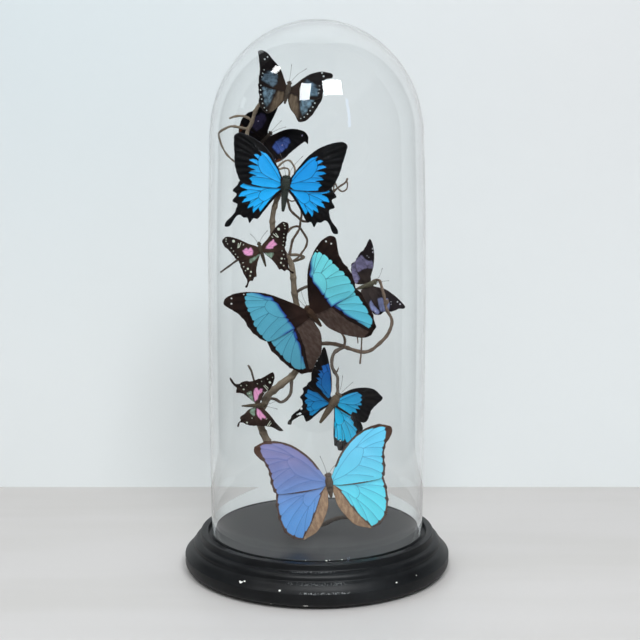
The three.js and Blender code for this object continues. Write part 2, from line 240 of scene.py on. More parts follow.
# shared effects
def frayedEdgeGroup():
    # turns a distance in mm into a mask whose border wanders by Fray
    tree, b, given, out = newGroup("frayedEdge", [
        ("Distance", "NodeSocketFloat", 0.0), ("Width", "NodeSocketFloat", 0.4), ("Fray", "NodeSocketFloat", 0.4),
        ("Vector", "NodeSocketVector", None), ("Scale", "NodeSocketFloat", 4.0)], [("Mask", "NodeSocketFloat")])
    wander = b.minus(b.noise(given["Vector"], given["Scale"], 2.0, 0.6), 0.5)
    moved = b.plus(given["Distance"], b.times(wander, b.times(given["Fray"], 2.0)))
    half = b.times(given["Width"], 0.5)
    feed(out["Mask"], b.ramp(moved, b.minus(0.0, half), half))
    return tree


def wingScalesGroup():
    # rows of fine scales: a tint that varies along the wing, and their height
    tree, b, given, out = newGroup("wingScales", [
        ("Vector", "NodeSocketVector", None), ("Rows", "NodeSocketFloat", 60.0)],
        [("Tint", "NodeSocketFloat"), ("Height", "NodeSocketFloat")])
    rows = b.noise(b.stretch(given["Vector"], (1.0, 3.5, 1.0)), given["Rows"], 2.0, 0.6)
    broad = b.noise(given["Vector"], 1.6, 3.0, 0.55)
    feed(out["Tint"], b.plus(b.times(rows, 0.45), b.times(broad, 0.55)))
    feed(out["Height"], rows)
    return tree


def barkGrainGroup():
    # long ridges and cross cracks along a limb
    tree, b, given, out = newGroup("barkGrain", [
        ("Vector", "NodeSocketVector", None), ("Object", "NodeSocketVector", None)],
        [("Tint", "NodeSocketFloat"), ("Height", "NodeSocketFloat"), ("Blotch", "NodeSocketFloat")])
    ridges = b.noise(b.stretch(given["Vector"], (0.16, 1.5, 1.5)), 1.3, 4.0, 0.65)
    cracks = b.noise(b.stretch(given["Vector"], (1.2, 0.35, 0.35)), 1.2, 3.0, 0.6)
    fine = b.noise(given["Object"], 1400.0, 3.0, 0.6)
    feed(out["Height"], b.plus(b.times(ridges, 0.7), b.times(b.plus(cracks, fine), 0.22)))
    feed(out["Tint"], b.plus(b.times(ridges, 0.6), b.times(fine, 0.4)))
    feed(out["Blotch"], b.noise(given["Object"], 38.0, 3.0, 0.6))
    return tree


frayedEdge = frayedEdgeGroup()
wingScales = wingScalesGroup()
barkGrain = barkGrainGroup()

print("shared effects ready")


# stage, camera and light
stagePlan = {
    "sheet": 6,   # side of the table and of the wall in metres
    "wallDistance": 275 * mm,
    "tableFront": -750 * mm,
    "tableColour": srgb(207, 203, 201),
    "tableStreaks": srgb(202, 198, 195),
    "wallColour": srgb(222, 223, 223),
    "wallLeft": srgb(217, 224, 226),
    "wallLowPaintedLight": srgb(235, 238, 238),   # painted light: paler towards the table
    "unlit": srgb(70, 74, 76),   # table and wall far to either side, as the glass mirrors them
    "roomFront": 0.30,   # how bright the room is behind the camera, at the sides and at the back
    "roomSide": 0.68,
    "roomBack": 1.08,
    "roomDiffuse": 0.88,   # the even light of the room on everything matt
    "roomColour": (0.93, 0.98, 1.0, 1),
    "mirrorNear": 0.015,   # what the glass mirrors of the room: beside and in front, then behind
    "mirrorFar": 0.85,
    "mirrorAbove": 0.3,   # share of it that is left higher up
    "mirrorGlow": 0.12,   # the backdrop is a little brighter in the glass than it looks
    "mirrorEdge": (0.46, 0.54),   # metres to either side where the lit part of it ends
}


def mirroredSides(b, across):
    # far to either side, and only for light that glass or paint sends back
    mirrored = b.above(b.lightPath()["Glossy Depth"], 0.5)
    return b.times(b.ramp(b.absolute(across), *stagePlan["mirrorEdge"]), mirrored)


def buildStage():
    plan = stagePlan
    startClean()
    sheet = plan["sheet"]
    bpy.ops.mesh.primitive_plane_add(size=sheet, location=(0, sheet / 2 + plan["tableFront"], 0))
    table = bpy.context.object
    table.name = "table"
    material, b, shader = newMaterial("paleTable")
    coords = b.coords()
    streaks = b.noise(b.stretch(coords, (0.8, 5.0, 1.0)), 2.4, 3.0, 0.5)
    tint = b.mix(b.ramp(streaks, 0.35, 0.7), plan["tableColour"], plan["tableStreaks"])
    across = b.split(coords)["X"]
    tint = b.mix(mirroredSides(b, across), tint, plan["unlit"])
    setSockets(shader, Base_Color=tint, Roughness=0.45, Specular_IOR_Level=0.3)
    table.data.materials.append(material)

    startClean()
    place = (0, plan["wallDistance"], sheet / 2)
    bpy.ops.mesh.primitive_plane_add(size=sheet, location=place, rotation=(math.pi / 2, 0, 0))
    wall = bpy.context.object
    wall.name = "backdrop"
    material, b, shader = newMaterial("paleBackdrop")
    coords = b.coords()
    across, rise = b.split(coords)[:2]
    warmth = b.mix(b.ramp(across, -0.35, 0.40), plan["wallLeft"], plan["wallColour"])
    # painted light: the wall is paler towards the table
    warmth = b.mix(b.ramp(rise, -2.40, -2.95), warmth, plan["wallLowPaintedLight"])
    tint = b.mix(mirroredSides(b, across), warmth, plan["unlit"])
    glow = b.times(b.above(b.lightPath()["Glossy Depth"], 0.5), plan["mirrorGlow"])
    glow = b.times(glow, b.ramp(b.absolute(across), *plan["mirrorEdge"][::-1]))
    setSockets(shader, Base_Color=tint, Roughness=0.9, Specular_IOR_Level=0.1, Emission_Strength=glow)
    # seen from behind it isn't there, so that the object can be looked at from every side
    clear = b.add("ShaderNodeBsdfTransparent").outputs[0]
    behind = b.add("ShaderNodeNewGeometry").outputs["Backfacing"]
    both = b.add("ShaderNodeMixShader", {0: behind, 1: shader.outputs[0], 2: clear})
    toOutput(material, both.outputs[0])
    wall.data.materials.append(material)


cameraPlan = {"place": (2.8 * mm, -930 * mm, 320 * mm), "tilt": 84.6, "lens": 56.25, "sensor": 36, "nearest": 0.01}


def buildCamera():
    plan = cameraPlan
    data = bpy.data.cameras.new("camera")
    data.sensor_width = plan["sensor"]
    data.lens = plan["lens"]
    data.clip_start = plan["nearest"]
    camera = bpy.data.objects.new("camera", data)
    camera.location = plan["place"]
    camera.rotation_euler = (math.radians(plan["tilt"]), 0, 0)
    bpy.context.collection.objects.link(camera)
    bpy.context.scene.camera = camera


# panes of daylight in metres: place, width, height, radiance, colour
lightPlan = {
    "leftPane": ((-0.395, -1.621, 1.662), 0.355, 0.580, 23.0, (0.95, 0.98, 1.0)),
    "rightPane": ((0.515, -1.489, 1.773), 0.640, 0.510, 23.0, (0.95, 0.98, 1.0)),
    "roofPane": ((-1.148, -0.503, 2.056), 0.260, 0.230, 20.0, (1.0, 1.0, 1.0)),
    "curtainGap": ((1.089, -1.656, 1.100), 0.110, 0.800, 2.8, (0.50, 0.64, 1.0)),
    "farPane": ((-1.900, -0.044, 1.213), 0.200, 0.255, 1.1, (0.95, 0.98, 1.0)),
}
lightAim = Vector((0, 0, 0.42))


def buildLights():
    for name, (place, width, height, radiance, colour) in lightPlan.items():
        data = bpy.data.lights.new(name, "AREA")
        data.shape = "RECTANGLE"
        data.size = width
        data.size_y = height
        data.energy = radiance * math.pi * width * height
        data.color = colour
        light = bpy.data.objects.new(name, data)
        light.location = place
        light.rotation_euler = (lightAim - Vector(place)).to_track_quat("-Z", "Y").to_euler()
        light.visible_camera = False
        bpy.context.collection.objects.link(light)
    world = bpy.data.worlds.new("paleRoom")
    bpy.context.scene.world = world
    world.use_nodes = True
    b = Board(world.node_tree)
    deep, up = b.split(b.coords("Generated"))[1:3]
    plan = stagePlan
    nearSide = b.ramp(deep, -0.85, -0.05, plan["roomFront"], plan["roomSide"])
    room = b.plus(nearSide, b.ramp(deep, 0.30, 0.60, 0.0, plan["roomBack"] - plan["roomSide"]))
    path = b.lightPath()
    strength = b.blend(b.above(path["Diffuse Depth"], 0.5), plan["roomDiffuse"], room)
    mirror = b.ramp(deep, 0.42, 0.58, plan["mirrorNear"], plan["mirrorFar"])
    mirror = b.times(mirror, b.ramp(up, 0.30, 0.62, 1.0, plan["mirrorAbove"]))
    strength = b.blend(b.above(path["Glossy Depth"], 0.5), strength, mirror)
    setSockets(world.node_tree.nodes["Background"], Color=plan["roomColour"], Strength=strength)
    bpy.context.scene.view_settings.view_transform = "Standard"
    bpy.context.scene.cycles.glossy_bounces = 12   # enough for the mirror images in the two faces of the dome


buildStage()
buildCamera()
buildLights()
print("stage, camera and light ready")


# turned base and blown glass
def spunProfile(points, steps):
    # one vertex is walked along the profile by extruding it, then the line is spun round the axis
    startClean()
    bpy.ops.mesh.primitive_plane_add(size=mm)
    bpy.ops.object.mode_set(mode="EDIT")
    bpy.ops.mesh.select_all(action="SELECT")
    bpy.ops.mesh.merge(type="CENTER")
    bpy.ops.transform.translate(value=(points[0][0] * mm, 0, points[0][1] * mm))
    for (r, z), (nextR, nextZ) in zip(points, points[1:]):
        move = {"value": ((nextR - r) * mm, 0, (nextZ - z) * mm)}
        bpy.ops.mesh.extrude_region_move(TRANSFORM_OT_translate=move)
    bpy.ops.mesh.select_all(action="SELECT")
    bpy.ops.mesh.spin(steps=steps, angle=2 * math.pi, center=(0, 0, 0), axis=(0, 0, 1))
    bpy.ops.mesh.select_all(action="SELECT")
    bpy.ops.mesh.remove_doubles(threshold=0.02 * mm)
    bpy.ops.mesh.normals_make_consistent(inside=False)
    bpy.ops.object.mode_set(mode="OBJECT")
    return bpy.context.object


def arc(centre, radius, start, end, steps):
    turns = [math.radians(start + (end - start) * i / steps) for i in range(steps + 1)]
    return [(centre[0] + radius * math.cos(t), centre[1] + radius * math.sin(t)) for t in turns]


basePlan = {
    "radius": 124.5, "bandHeight": 14.8, "ringRadius": 109.7, "ringInner": 102.8, "plateRadius": 97.2,
    "plateTop": 35, "grooveFloor": 31.5, "steps": 144,
    # the moulding between the band and the ring: a sloped roll, a groove, a quarter round and a small step
    "moulding": [(123.7, 15.2), (122.7, 16.1), (121.5, 17.5), (120.3, 19.0), (119.3, 20.2), (118.3, 21.1),
                 (117.3, 21.8), (116.5, 22.3), (116.1, 22.9), (116.1, 23.9), (115.9, 25.0), (115.2, 26.2),
                 (114.2, 27.3), (113.0, 28.1), (111.9, 28.6), (111.1, 28.8), (110.6, 28.9), (110.2, 29.3),
                 (109.8, 29.9)],
    "paint": srgb(15, 16, 18), "worn": srgb(50, 53, 56), "dust": srgb(104, 108, 110), "primer": srgb(236, 236, 230),
    # plate and platePale on the next line are painted reflection: the black floor greyed for the wall its gloss mirrors
    "paintPale": srgb(30, 32, 34), "plate": srgb(36, 37, 38), "platePale": srgb(46, 46, 47), "rubAndHighlight": srgb(150, 153, 154),
    # how fine each pattern in the paint is
    "grain": {"fine": 900.0, "broad": 22.0, "lathe": 700.0, "dust": 2600.0, "scuff": 330.0, "wander": 620.0},
    # flakes lost from the paint: turn round the base in degrees from the front, height, half width, half height in mm
    "chips": [(-32.2, 17.6, 2.4, 0.8), (-30.6, 18.6, 1.2, 0.6), (-14.6, 16.1, 1.1, 0.7), (33.9, 16.6, 1.3, 0.6),
              (-4.2, 4.3, 2.6, 0.6), (-18.3, 3.8, 0.6, 0.5), (-77.4, 13.5, 0.9, 1.0), (45.4, 17.2, 0.6, 0.4),
              (101.0, 17.5, 2.2, 1.1), (141.0, 16.6, 1.7, 1.2), (-150.0, 12.9, 1.4, 0.9), (-118.0, 4.0, 1.8, 0.7)],
    # white flecks on the rim of the floor: turn, half width
    "flecks": [(-5.6, 0.6), (4.8, 1.0), (6.4, 0.7), (12.8, 0.8), (120.0, 1.0), (-140.0, 0.8)],
    # edges rubbed through, and along the front of the moulding painted highlights: turn, half width in degrees, height
    # in mm, half height, strength
    "rubbedAndHighlit": [(3.2, 10.5, 15.0, 0.55, 0.85), (-1.6, 10.5, 28.9, 0.35, 0.45), (0.0, 13.5, 21.0, 0.9, 0.25),
               (150.0, 9.0, 14.9, 0.5, 0.8), (-110.0, 7.0, 14.9, 0.5, 0.8)],
}


def baseProfile():
    p = basePlan
    r, band, ring, inner, top = p["radius"], p["bandHeight"], p["ringRadius"], p["ringInner"], p["plateTop"]
    points = [(0, 0), (60, 0), (r - 11, 0), (r - 7.5, 0.8), (r - 4.4, 2.0), (r - 1.9, 3.6), (r - 0.5, 5.4), (r, 7.4)]
    points += arc((r - 0.6, band - 0.6), 0.6, 0, 70, 4)
    points += p["moulding"]
    points += arc((ring - 1.2, top - 1.2), 1.2, 0, 90, 6)
    points += arc((inner + 1.0, top - 1.0), 1.0, 90, 180, 6)
    points += [(inner, p["grooveFloor"]), (p["plateRadius"], p["grooveFloor"])]
    points += arc((p["plateRadius"] - 0.6, top - 0.6), 0.6, 0, 90, 5)
    points += [(80, top), (50, top), (0, top)]
    return points


def lostPaint(b, coords, turn, height, wander):
    # chips on the outside and flecks on the rim of the floor as one mask; the wander makes their borders ragged
    p = basePlan
    masks = []
    for degrees, level, wide, tall in p["chips"]:
        x = b.times(b.minus(turn, math.radians(degrees)), p["radius"] / wide)
        y = b.times(b.minus(height, level * mm), 1 / (tall * mm))
        masks.append(b.ramp(b.plus(b.length(b.combine(x, y)), b.times(wander, 1.8)), 0.96, 0.70))
    away = (p["plateRadius"] - 0.4) * mm
    for degrees, size in p["flecks"]:
        angle = math.radians(degrees)
        place = (away * math.sin(angle), -away * math.cos(angle), p["plateTop"] * mm)
        near = b.add("ShaderNodeVectorMath", {0: coords, 1: place}, operation="DISTANCE").outputs["Value"]
        masks.append(b.ramp(b.plus(near, b.times(wander, 2 * mm)), (size + 0.1) * mm, (size - 0.2) * mm))
    white = masks[0]
    for mask in masks[1:]:
        white = b.larger(white, mask)
    return white


def paintedWood():
    p, grain = basePlan, basePlan["grain"]
    material, b, shader = newMaterial("chippedBlackPaint")
    coords = b.coords()
    across, deep, height = b.split(coords)[:3]
    radius = b.length(b.combine(across, deep))
    turn = b.math("ARCTAN2", across, b.minus(0.0, deep))
    fine = b.noise(coords, grain["fine"], 4.0, 0.6)
    broad = b.noise(coords, grain["broad"], 4.0, 0.6)
    # lathe rings follow the radius and the height
    rings = b.noise(b.combine(radius, height), grain["lathe"], 2.0, 0.5)
    colour = b.mix(b.ramp(broad, 0.35, 0.75), p["paint"], p["paintPale"])
    # painted reflection: the floor under the glass is painted greyer, for the pale wall its gloss mirrors
    floorMask = b.times(b.ramp(radius, 0.0980, 0.0972), b.ramp(height, 0.0344, 0.0348))
    colour = b.mix(floorMask, colour, b.mix(b.ramp(broad, 0.3, 0.7), p["plate"], p["platePale"]))
    dustMask = b.times(b.ramp(b.noise(coords, grain["dust"], 1.0, 0.5), 0.74, 0.82), 0.12)
    colour = b.mix(dustMask, colour, p["dust"])
    # soft scuffs round the moulding
    scuff = b.noise(b.combine(b.times(turn, 0.35), height), grain["scuff"])
    scuffMask = b.times(b.ramp(scuff, 0.62, 0.78), b.ramp(radius, 0.109, 0.111))
    colour = b.mix(b.times(scuffMask, 0.3), colour, p["worn"])
    wander = b.minus(b.noise(coords, grain["wander"], 2.0, 0.6), 0.5)
    white = lostPaint(b, coords, turn, height, wander)
    colour = b.mix(white, colour, p["primer"])
    # edges rubbed through in dots; those on the front of the moulding are also painted highlights
    dots = b.ramp(b.noise(coords, grain["wander"], 2.0, 0.7), 0.48, 0.60)
    for degrees, halfWidth, level, tall, amount in p["rubbedAndHighlit"]:
        off = b.absolute(b.minus(turn, math.radians(degrees)))
        stretch = b.ramp(off, math.radians(halfWidth), math.radians(halfWidth * 0.75))
        line = b.ramp(b.absolute(b.minus(height, level * mm)), tall * 1.5 * mm, tall * 0.5 * mm)
        colour = b.mix(b.times(b.times(line, stretch), b.times(dots, amount)), colour, p["rubAndHighlight"])
    rough = b.plus(b.plus(0.34, b.times(broad, 0.14)), b.times(floorMask, 0.08))
    rough = b.plus(rough, b.times(b.larger(white, scuffMask), 0.25))
    # tool marks and grain, with the chips sunk in; the floor is the smoothest
    relief = b.minus(b.plus(b.times(fine, 0.25), b.times(rings, 0.5)), b.times(white, 2.0))
    bump = b.bump(b.ramp(floorMask, 0.0, 1.0, 0.25, 0.04), 0.15 * mm, relief)
    setSockets(shader, Base_Color=colour, Roughness=rough, Normal=bump,
               Specular_IOR_Level=b.ramp(floorMask, 0.0, 1.0, 0.28, 0.42))
    return material


domePlan = {
    "footRadius": 99.5, "bellyRadius": 101, "shoulderRadius": 98, "foot": 31.8, "belly": 240, "shoulder": 400,
    "top": 505, "wall": 1.6, "steps": 160, "wallRows": 18, "crownRows": 30,
    "ior": 1.4, "tint": (0.994, 1.0, 0.999, 1),
    "shade": (0.985, 0.994, 0.994, 1),   # what light loses on its way through, for shadows and for the room
    "waves": 14.0, "waveHeight": 0.8 * mm, "waveStrength": 0.06,
}


def domeWall(inset):
    # from the foot to the middle of the crown, that much inside the outer face
    p = domePlan
    wallRows, crownRows = p["wallRows"], p["crownRows"]
    points = []
    for i in range(wallRows):
        z = p["foot"] + (p["shoulder"] - p["foot"]) * i / wallRows
        if z < p["belly"]:
            t = (z - p["foot"]) / (p["belly"] - p["foot"])
            radius = p["footRadius"] + (p["bellyRadius"] - p["footRadius"]) * math.sin(t * math.pi / 2)
        else:
            t = (z - p["belly"]) / (p["shoulder"] - p["belly"])
            radius = p["bellyRadius"] + (p["shoulderRadius"] - p["bellyRadius"]) * t * t
        points.append((radius - inset, z))
    for i in range(crownRows + 1):
        turn = math.pi / 2 * i / crownRows
        height = (p["top"] - p["shoulder"] - inset) * math.sin(turn)
        radius = (p["shoulderRadius"] - inset) * math.cos(turn)
        points.append((0 if i == crownRows else radius, p["shoulder"] + height))
    return points


def domeProfile():
    inner = domeWall(domePlan["wall"])[::-1]
    outer = domeWall(0)
    middle = (inner[-1][0] + outer[0][0]) / 2
    lip = [(inner[-1][0] + 0.4, inner[-1][1]), (middle, inner[-1][1]), (outer[0][0] - 0.4, outer[0][1])]
    return inner[:-1] + [(inner[-1][0], inner[-1][1] + 0.8)] + lip + [(outer[0][0], outer[0][1] + 0.8)] + outer[1:]


def clearGlass():
    p = domePlan
    material, b, shader = newMaterial("blownGlass")
    wave = b.noise(b.stretch(b.coords(), (1, 1, 0.5)), p["waves"], 1.0, 0.4)
    setSockets(shader, Base_Color=p["tint"], Roughness=0.0, IOR=p["ior"], Transmission_Weight=1.0,
               Normal=b.bump(p["waveStrength"], p["waveHeight"], wave))
    clear = b.add("ShaderNodeBsdfTransparent", {"Color": p["shade"]}).outputs[0]
    path = b.lightPath()
    soft = b.larger(path["Is Shadow Ray"], path["Is Diffuse Ray"])
    both = b.add("ShaderNodeMixShader", {0: soft, 1: shader.outputs[0], 2: clear})
    toOutput(material, both.outputs[0])
    return material


def buildBaseAndDome():
    base = spunProfile(baseProfile(), basePlan["steps"])
    bpy.ops.object.shade_smooth_by_angle(angle=math.radians(35))
    keepPiece(base, "base", [paintedWood()])
    dome = spunProfile(domeProfile(), domePlan["steps"])
    bpy.ops.object.shade_smooth_by_angle(angle=math.radians(50))
    keepPiece(dome, "glass_dome", [clearGlass()])


buildBaseAndDome()
print("base and dome ready")


# twisted branch
def smoothRoute(points, closed=False, step=1.2):
    # an even walk along a curve through the points, as an array
    p = np.array(points, dtype=float)
    count = len(p)
    nextOf = (lambda i: p[(i + 1) % count]) if closed else (lambda i: p[min(i + 1, count - 1)])
    lastOf = (lambda i: p[(i - 1) % count]) if closed else (lambda i: p[max(i - 1, 0)])
    out = []
    for i in range(count if closed else count - 1):
        a, b = p[i], nextOf(i)
        length = np.linalg.norm(b - a)
        before, after = lastOf(i), nextOf((i + 1) % count if closed else i + 1)
        slopeA = (b - before) / max(np.linalg.norm(b - a) + np.linalg.norm(a - before), 1e-6) * length
        slopeB = (after - a) / max(np.linalg.norm(after - b) + length, 1e-6) * length
        steps = max(1, int(round(length / step)))
        for k in range(steps):
            t = k / steps
            out.append(a * (2 * t**3 - 3 * t**2 + 1) + slopeA * (t**3 - 2 * t**2 + t)
                       + b * (3 * t**2 - 2 * t**3) + slopeB * (t**3 - t**2))
    if not closed:
        out.append(p[-1])
    return np.array(out)


def tube(name, route, radii, sides=10):
    # a curve with its own radius at each point, made a mesh with closed ends
    startClean()
    data = bpy.data.curves.new(name, "CURVE")
    data.dimensions = "3D"
    data.bevel_depth = mm
    data.bevel_resolution = max(0, sides // 2 - 2)
    data.use_fill_caps = True
    spline = data.splines.new("POLY")
    spline.points.add(len(route) - 1)
    for point, place, radius in zip(spline.points, route, radii):
        point.co = (place[0] * mm, place[1] * mm, place[2] * mm, 1)
        point.radius = radius
    obj = bpy.data.objects.new(name, data)
    bpy.context.collection.objects.link(obj)
    pick(obj)
    bpy.ops.object.convert(target="MESH")
    return bpy.context.object


branchPlan = {  # each limb: route in mm, radius at its ends, and the small twigs grown with it
    "stem_lower": {
        "route": [(-15, 0, 28), (-22, 1, 47), (-38, -2, 82), (-46, -8, 117), (-51, -9, 129), (-53, -10, 137),
                  (-53, -10, 147), (-49, -10, 154), (-45, -9, 163), (-38, -7, 169), (-30, -5, 175), (-22, -2, 181),
                  (-17, 1, 189), (-13, 2, 198), (-12, 2, 206)],
        "radius": (4.2, 3.2)},
    "stem_middle": {
        "route": [(-12, 2, 206), (-13, 0, 218), (-16, -4, 232), (-19, -8, 247), (-21, -9, 261), (-22, -10, 275),
                  (-24, -10, 286), (-28, -10, 292)],
        "radius": (3.2, 2.7),
        "shoots": [([(-26, -9, 293), (-18, -6, 293), (-12, -5, 291), (-18, -6, 288), (-24, -9, 287)], (1.5, 1.2))]},
    "stem_upper": {
        "route": [(-28, -10, 292), (-33, -10, 298), (-39.5, -11, 311), (-40.5, -13, 327), (-36.6, -16, 343),
                  (-33, -16.6, 354), (-36, -16, 368), (-48, -13, 384), (-59, -9, 395), (-64, -7, 402), (-59, -7, 414),
                  (-54, -8, 427), (-44, -9, 436), (-33, -11, 440), (-27, -12, 442)],
        "radius": (2.9, 1.5),
        "shoots": [
            ([(-36, -15, 372), (-31, -13, 377), (-26, -12, 379), (-23, -12, 377), (-20, -13, 371), (-21, -15, 364),
              (-26, -17, 357)], (1.0, 0.8)),
            ([(-36, -15, 370), (-30, -13, 372), (-26, -12, 371), (-25, -14, 366), (-27, -17, 360)], (0.9, 0.7)),
            ([(-38, -16, 344), (-34, -13, 347), (-28, -13, 345), (-23, -13, 342), (-17, -13, 344)], (0.9, 0.6)),
            ([(-43, -15, 375), (-47, -5, 370), (-52, 8, 371), (-55, 20, 381), (-52, 27, 393), (-48, 27.5, 402)],
             (1.6, 1.2)),
            ([(-59, -7, 414), (-62, -7, 417), (-67, -7, 419), (-74, -6, 419), (-80, -6, 417)], (1.2, 1.0)),
            ([(-60, -7, 412), (-64, -6, 408), (-70, -6, 409), (-78, -5, 410), (-84, -4, 408), (-90, -3, 404),
              (-89, -3, 398), (-87, -3, 392), (-82, -4, 384), (-74, -6, 377), (-65, -9, 372)], (1.3, 0.8))]},
    "root_twig": {
        "route": [(-17, -1, 38), (-5, -5, 38), (4, -8, 38.5), (11, -9, 42), (20, -10, 46), (30, -12, 48),
                  (37, -18, 55), (33, -28, 68), (23, -39, 80), (11, -43.8, 87)],
        "radius": (2.2, 1.5)},
    "twig_right": {
        "route": [(-12, 2, 206), (-4, 1, 208), (6, 0, 210), (15, -2, 210), (24, -4, 208), (33, -6, 205),
                  (43, -8, 203), (50, -10, 205), (56, -12, 210), (63, -13, 217), (67, -14, 224), (69, -14, 231),
                  (68, -14, 236), (65, -14, 241), (63, -13, 247), (62, -12, 254), (60.5, -10, 260), (59.5, -4, 265.3),
                  (58, 2, 269), (54, 8.5, 268.6), (49, 11.5, 265)],
        "radius": (2.0, 1.3),
        "shoots": [([(42, -6, 225), (41, -8, 203), (40, -8, 192)], (0.7, 0.9)),
                   ([(42, -7, 218), (38, -7, 221), (38, -7, 211)], (0.7, 0.6)),
                   ([(63, -13, 248), (64.5, -13.6, 250), (64, -13, 252)], (1.9, 1.7)),
                   ([(25, -5, 207), (26, -5, 213), (25, -4, 217), (21, -3, 223)], (1.5, 1.0))]},
    "twig_drop": {
        "route": [(25, -4, 207), (20, -6, 205), (16, -7, 202), (14, -8, 197), (14, -9, 190), (16, -10, 185),
                  (19, -12, 180), (19, -14, 174), (19, -15, 167), (18, -15.4, 158)],
        "radius": (1.8, 1.4),
        "shoots": [([(17, -11, 183), (19, -11, 186), (20, -11, 189)], (1.0, 0.4))]},
    "twig_loop": {
        "route": [(-24, -3, 179), (-24, -3, 170), (-25, -4, 163), (-29, -6, 158), (-34, -8, 156), (-39, -9, 159),
                  (-46, -10, 160)],
        "radius": (1.7, 1.3)},
    "twig_short": {
        "route": [(-50, -8, 156), (-55, -7, 167), (-59, -7, 177), (-61, -8, 185), (-64, -9, 191)],
        "radius": (1.3, 0.9)},
    "twig_left": {
        "route": [(-28, -10, 291), (-38, -13, 293), (-50, -15.2, 297), (-63, -14, 294), (-72, -12, 289),
                  (-82, -10, 282), (-89, -8, 277)],
        "radius": (1.7, 0.8)},
    "twig_centre": {
        "route": [(-20, -9, 258), (-15, -11, 261.5), (-8, -13, 264), (-2.5, -15, 260), (-1, -17, 252),
                  (-5, -18.2, 243)],
        "radius": (1.5, 1.2)},
    "tendril_fork": {
        "route": [(-26, -9.5, 289), (-24, -10, 299), (-22, -11, 307), (-16, -13, 317), (-15, -14, 323),
                  (-14, -14, 330), (-15, -14, 339)],
        "radius": (1.3, 0.9)},
    "tendril_cross": {
        "route": [(-34, -17.5, 352), (-27, -18, 343), (-24, -16, 334), (-18, -12, 328), (-13, -10, 324),
                  (-7, -10, 324), (1, -10, 330), (9, -10, 340), (15, -10, 350), (20, -9, 355), (26, -8, 359),
                  (28, -8, 363)],
        "radius": (1.3, 0.9),
        "shoots": [([(15, -10, 350), (16, -9, 360), (17, -9, 358), (19, -8, 354), (23, -7, 351), (27, -6, 353),
                     (28, -6, 358), (27, -6, 361)], (0.8, 0.7))]},
    "tendril_loop": {
        "route": [(-39, -11, 309), (-33, -13, 310), (-27, -12, 314), (-23, -9, 318), (-17, -8, 319), (-13, -9, 314),
                  (-9, -10, 307), (-10, -10, 301), (-14, -10, 295), (-17, -10, 291), (-23, -10, 287)],
        "radius": (1.2, 1.0)},
}

barkPlan = {
    "voxel": 0.42,
    "lump": 4.5, "lumpHeight": 0.55,   # in mm, like the voxel
    "batch": 4000,   # vertices whose nearest place on the route is looked up at once
    "redLimbs": ("tendril_cross", "tendril_fork", "tendril_loop", "twig_right"),
    "stem": {"dark": srgb(72, 60, 50), "pale": srgb(150, 136, 118), "blotch": srgb(104, 92, 80)},
    "twig": {"dark": srgb(48, 42, 38), "pale": srgb(118, 106, 96), "blotch": srgb(78, 66, 58)},
    "red": {"dark": srgb(58, 46, 40), "pale": srgb(132, 114, 100), "blotch": srgb(96, 74, 62)},
}


def barkMaterial(name, tones):
    material, b, shader = newMaterial(name)
    coords = b.coords()
    grain = b.group(barkGrain, {"Vector": b.attribute("grain", "Vector"), "Object": coords})
    colour = b.mix(b.ramp(grain["Tint"], 0.34, 0.62), tones["dark"], tones["pale"])
    colour = b.mix(b.times(b.ramp(grain["Blotch"], 0.45, 0.7), 0.6), colour, tones["blotch"])
    rough = b.ramp(grain["Tint"], 0.3, 0.7, 0.72, 0.9)
    bump = b.bump(0.7, 0.35 * mm, grain["Height"])
    setSockets(shader, Base_Color=colour, Roughness=rough, Specular_IOR_Level=0.22, Normal=bump)
    return material


def walked(walk):
    # length covered at each point of a walk
    return np.concatenate([[0], np.cumsum(np.linalg.norm(np.diff(walk, axis=0), axis=1))])


def swollen(route, radii, seed):
    # twigs thicken at nodes spaced along them
    rng = random.Random(seed)
    walk = smoothRoute(route, step=1.0)
    along = walked(walk)
    radius = radii[0] + (radii[1] - radii[0]) * along / along[-1]
    spot = rng.uniform(4, 9)
    while spot < along[-1] - 2:
        radius = radius * (1 + rng.uniform(0.10, 0.26) * np.exp(-((along - spot) / rng.uniform(1.1, 1.9)) ** 2))
        spot += rng.uniform(8, 15)
    wobble = np.array([noise.noise((a * 0.16, seed * 3.7, 0.0)) for a in along])
    return walk, radius * (0.95 + 0.10 * wobble)


def buildLimb(name, plan, seed, material):
    walks = [swollen(plan["route"], plan["radius"], seed)]
    walks += [swollen(route, radii, seed + 40 + i) for i, (route, radii) in enumerate(plan.get("shoots", []))]
    limb = joinAll([tube(name, walk, radius) for walk, radius in walks])
    limb.data.remesh_voxel_size = barkPlan["voxel"] * mm
    limb.data.remesh_voxel_adaptivity = 0
    bpy.ops.object.voxel_remesh()
    lumps = bpy.data.textures.new(name + "Lumps", "CLOUDS")
    lumps.noise_scale = barkPlan["lump"] * mm
    lumps.noise_depth = 2
    roughen(limb, lumps, barkPlan["lumpHeight"])
    places = vertexData(limb.data, "co") / mm
    centres = np.concatenate([walk for walk, _ in walks])
    runs = np.concatenate([walked(walk) for walk, _ in walks])
    nearest = np.empty(len(places), dtype=int)
    for start in range(0, len(places), barkPlan["batch"]):
        some = slice(start, start + barkPlan["batch"])
        nearest[some] = ((places[some, None, :] - centres[None]) ** 2).sum(axis=2).argmin(axis=1)
    # the grain runs along the limb and wraps round it
    x, y, z = (places - centres[nearest]).T
    grain = np.stack([runs[nearest] + seed * 31.0, x + y * 0.6, z + y * 0.8], axis=1)
    layer = limb.data.attributes.new("grain", "FLOAT_VECTOR", "POINT")
    layer.data.foreach_set("vector", grain.astype(np.float32).ravel())
    pick(limb)
    bpy.ops.object.shade_smooth()
    keepPiece(limb, name, [material])


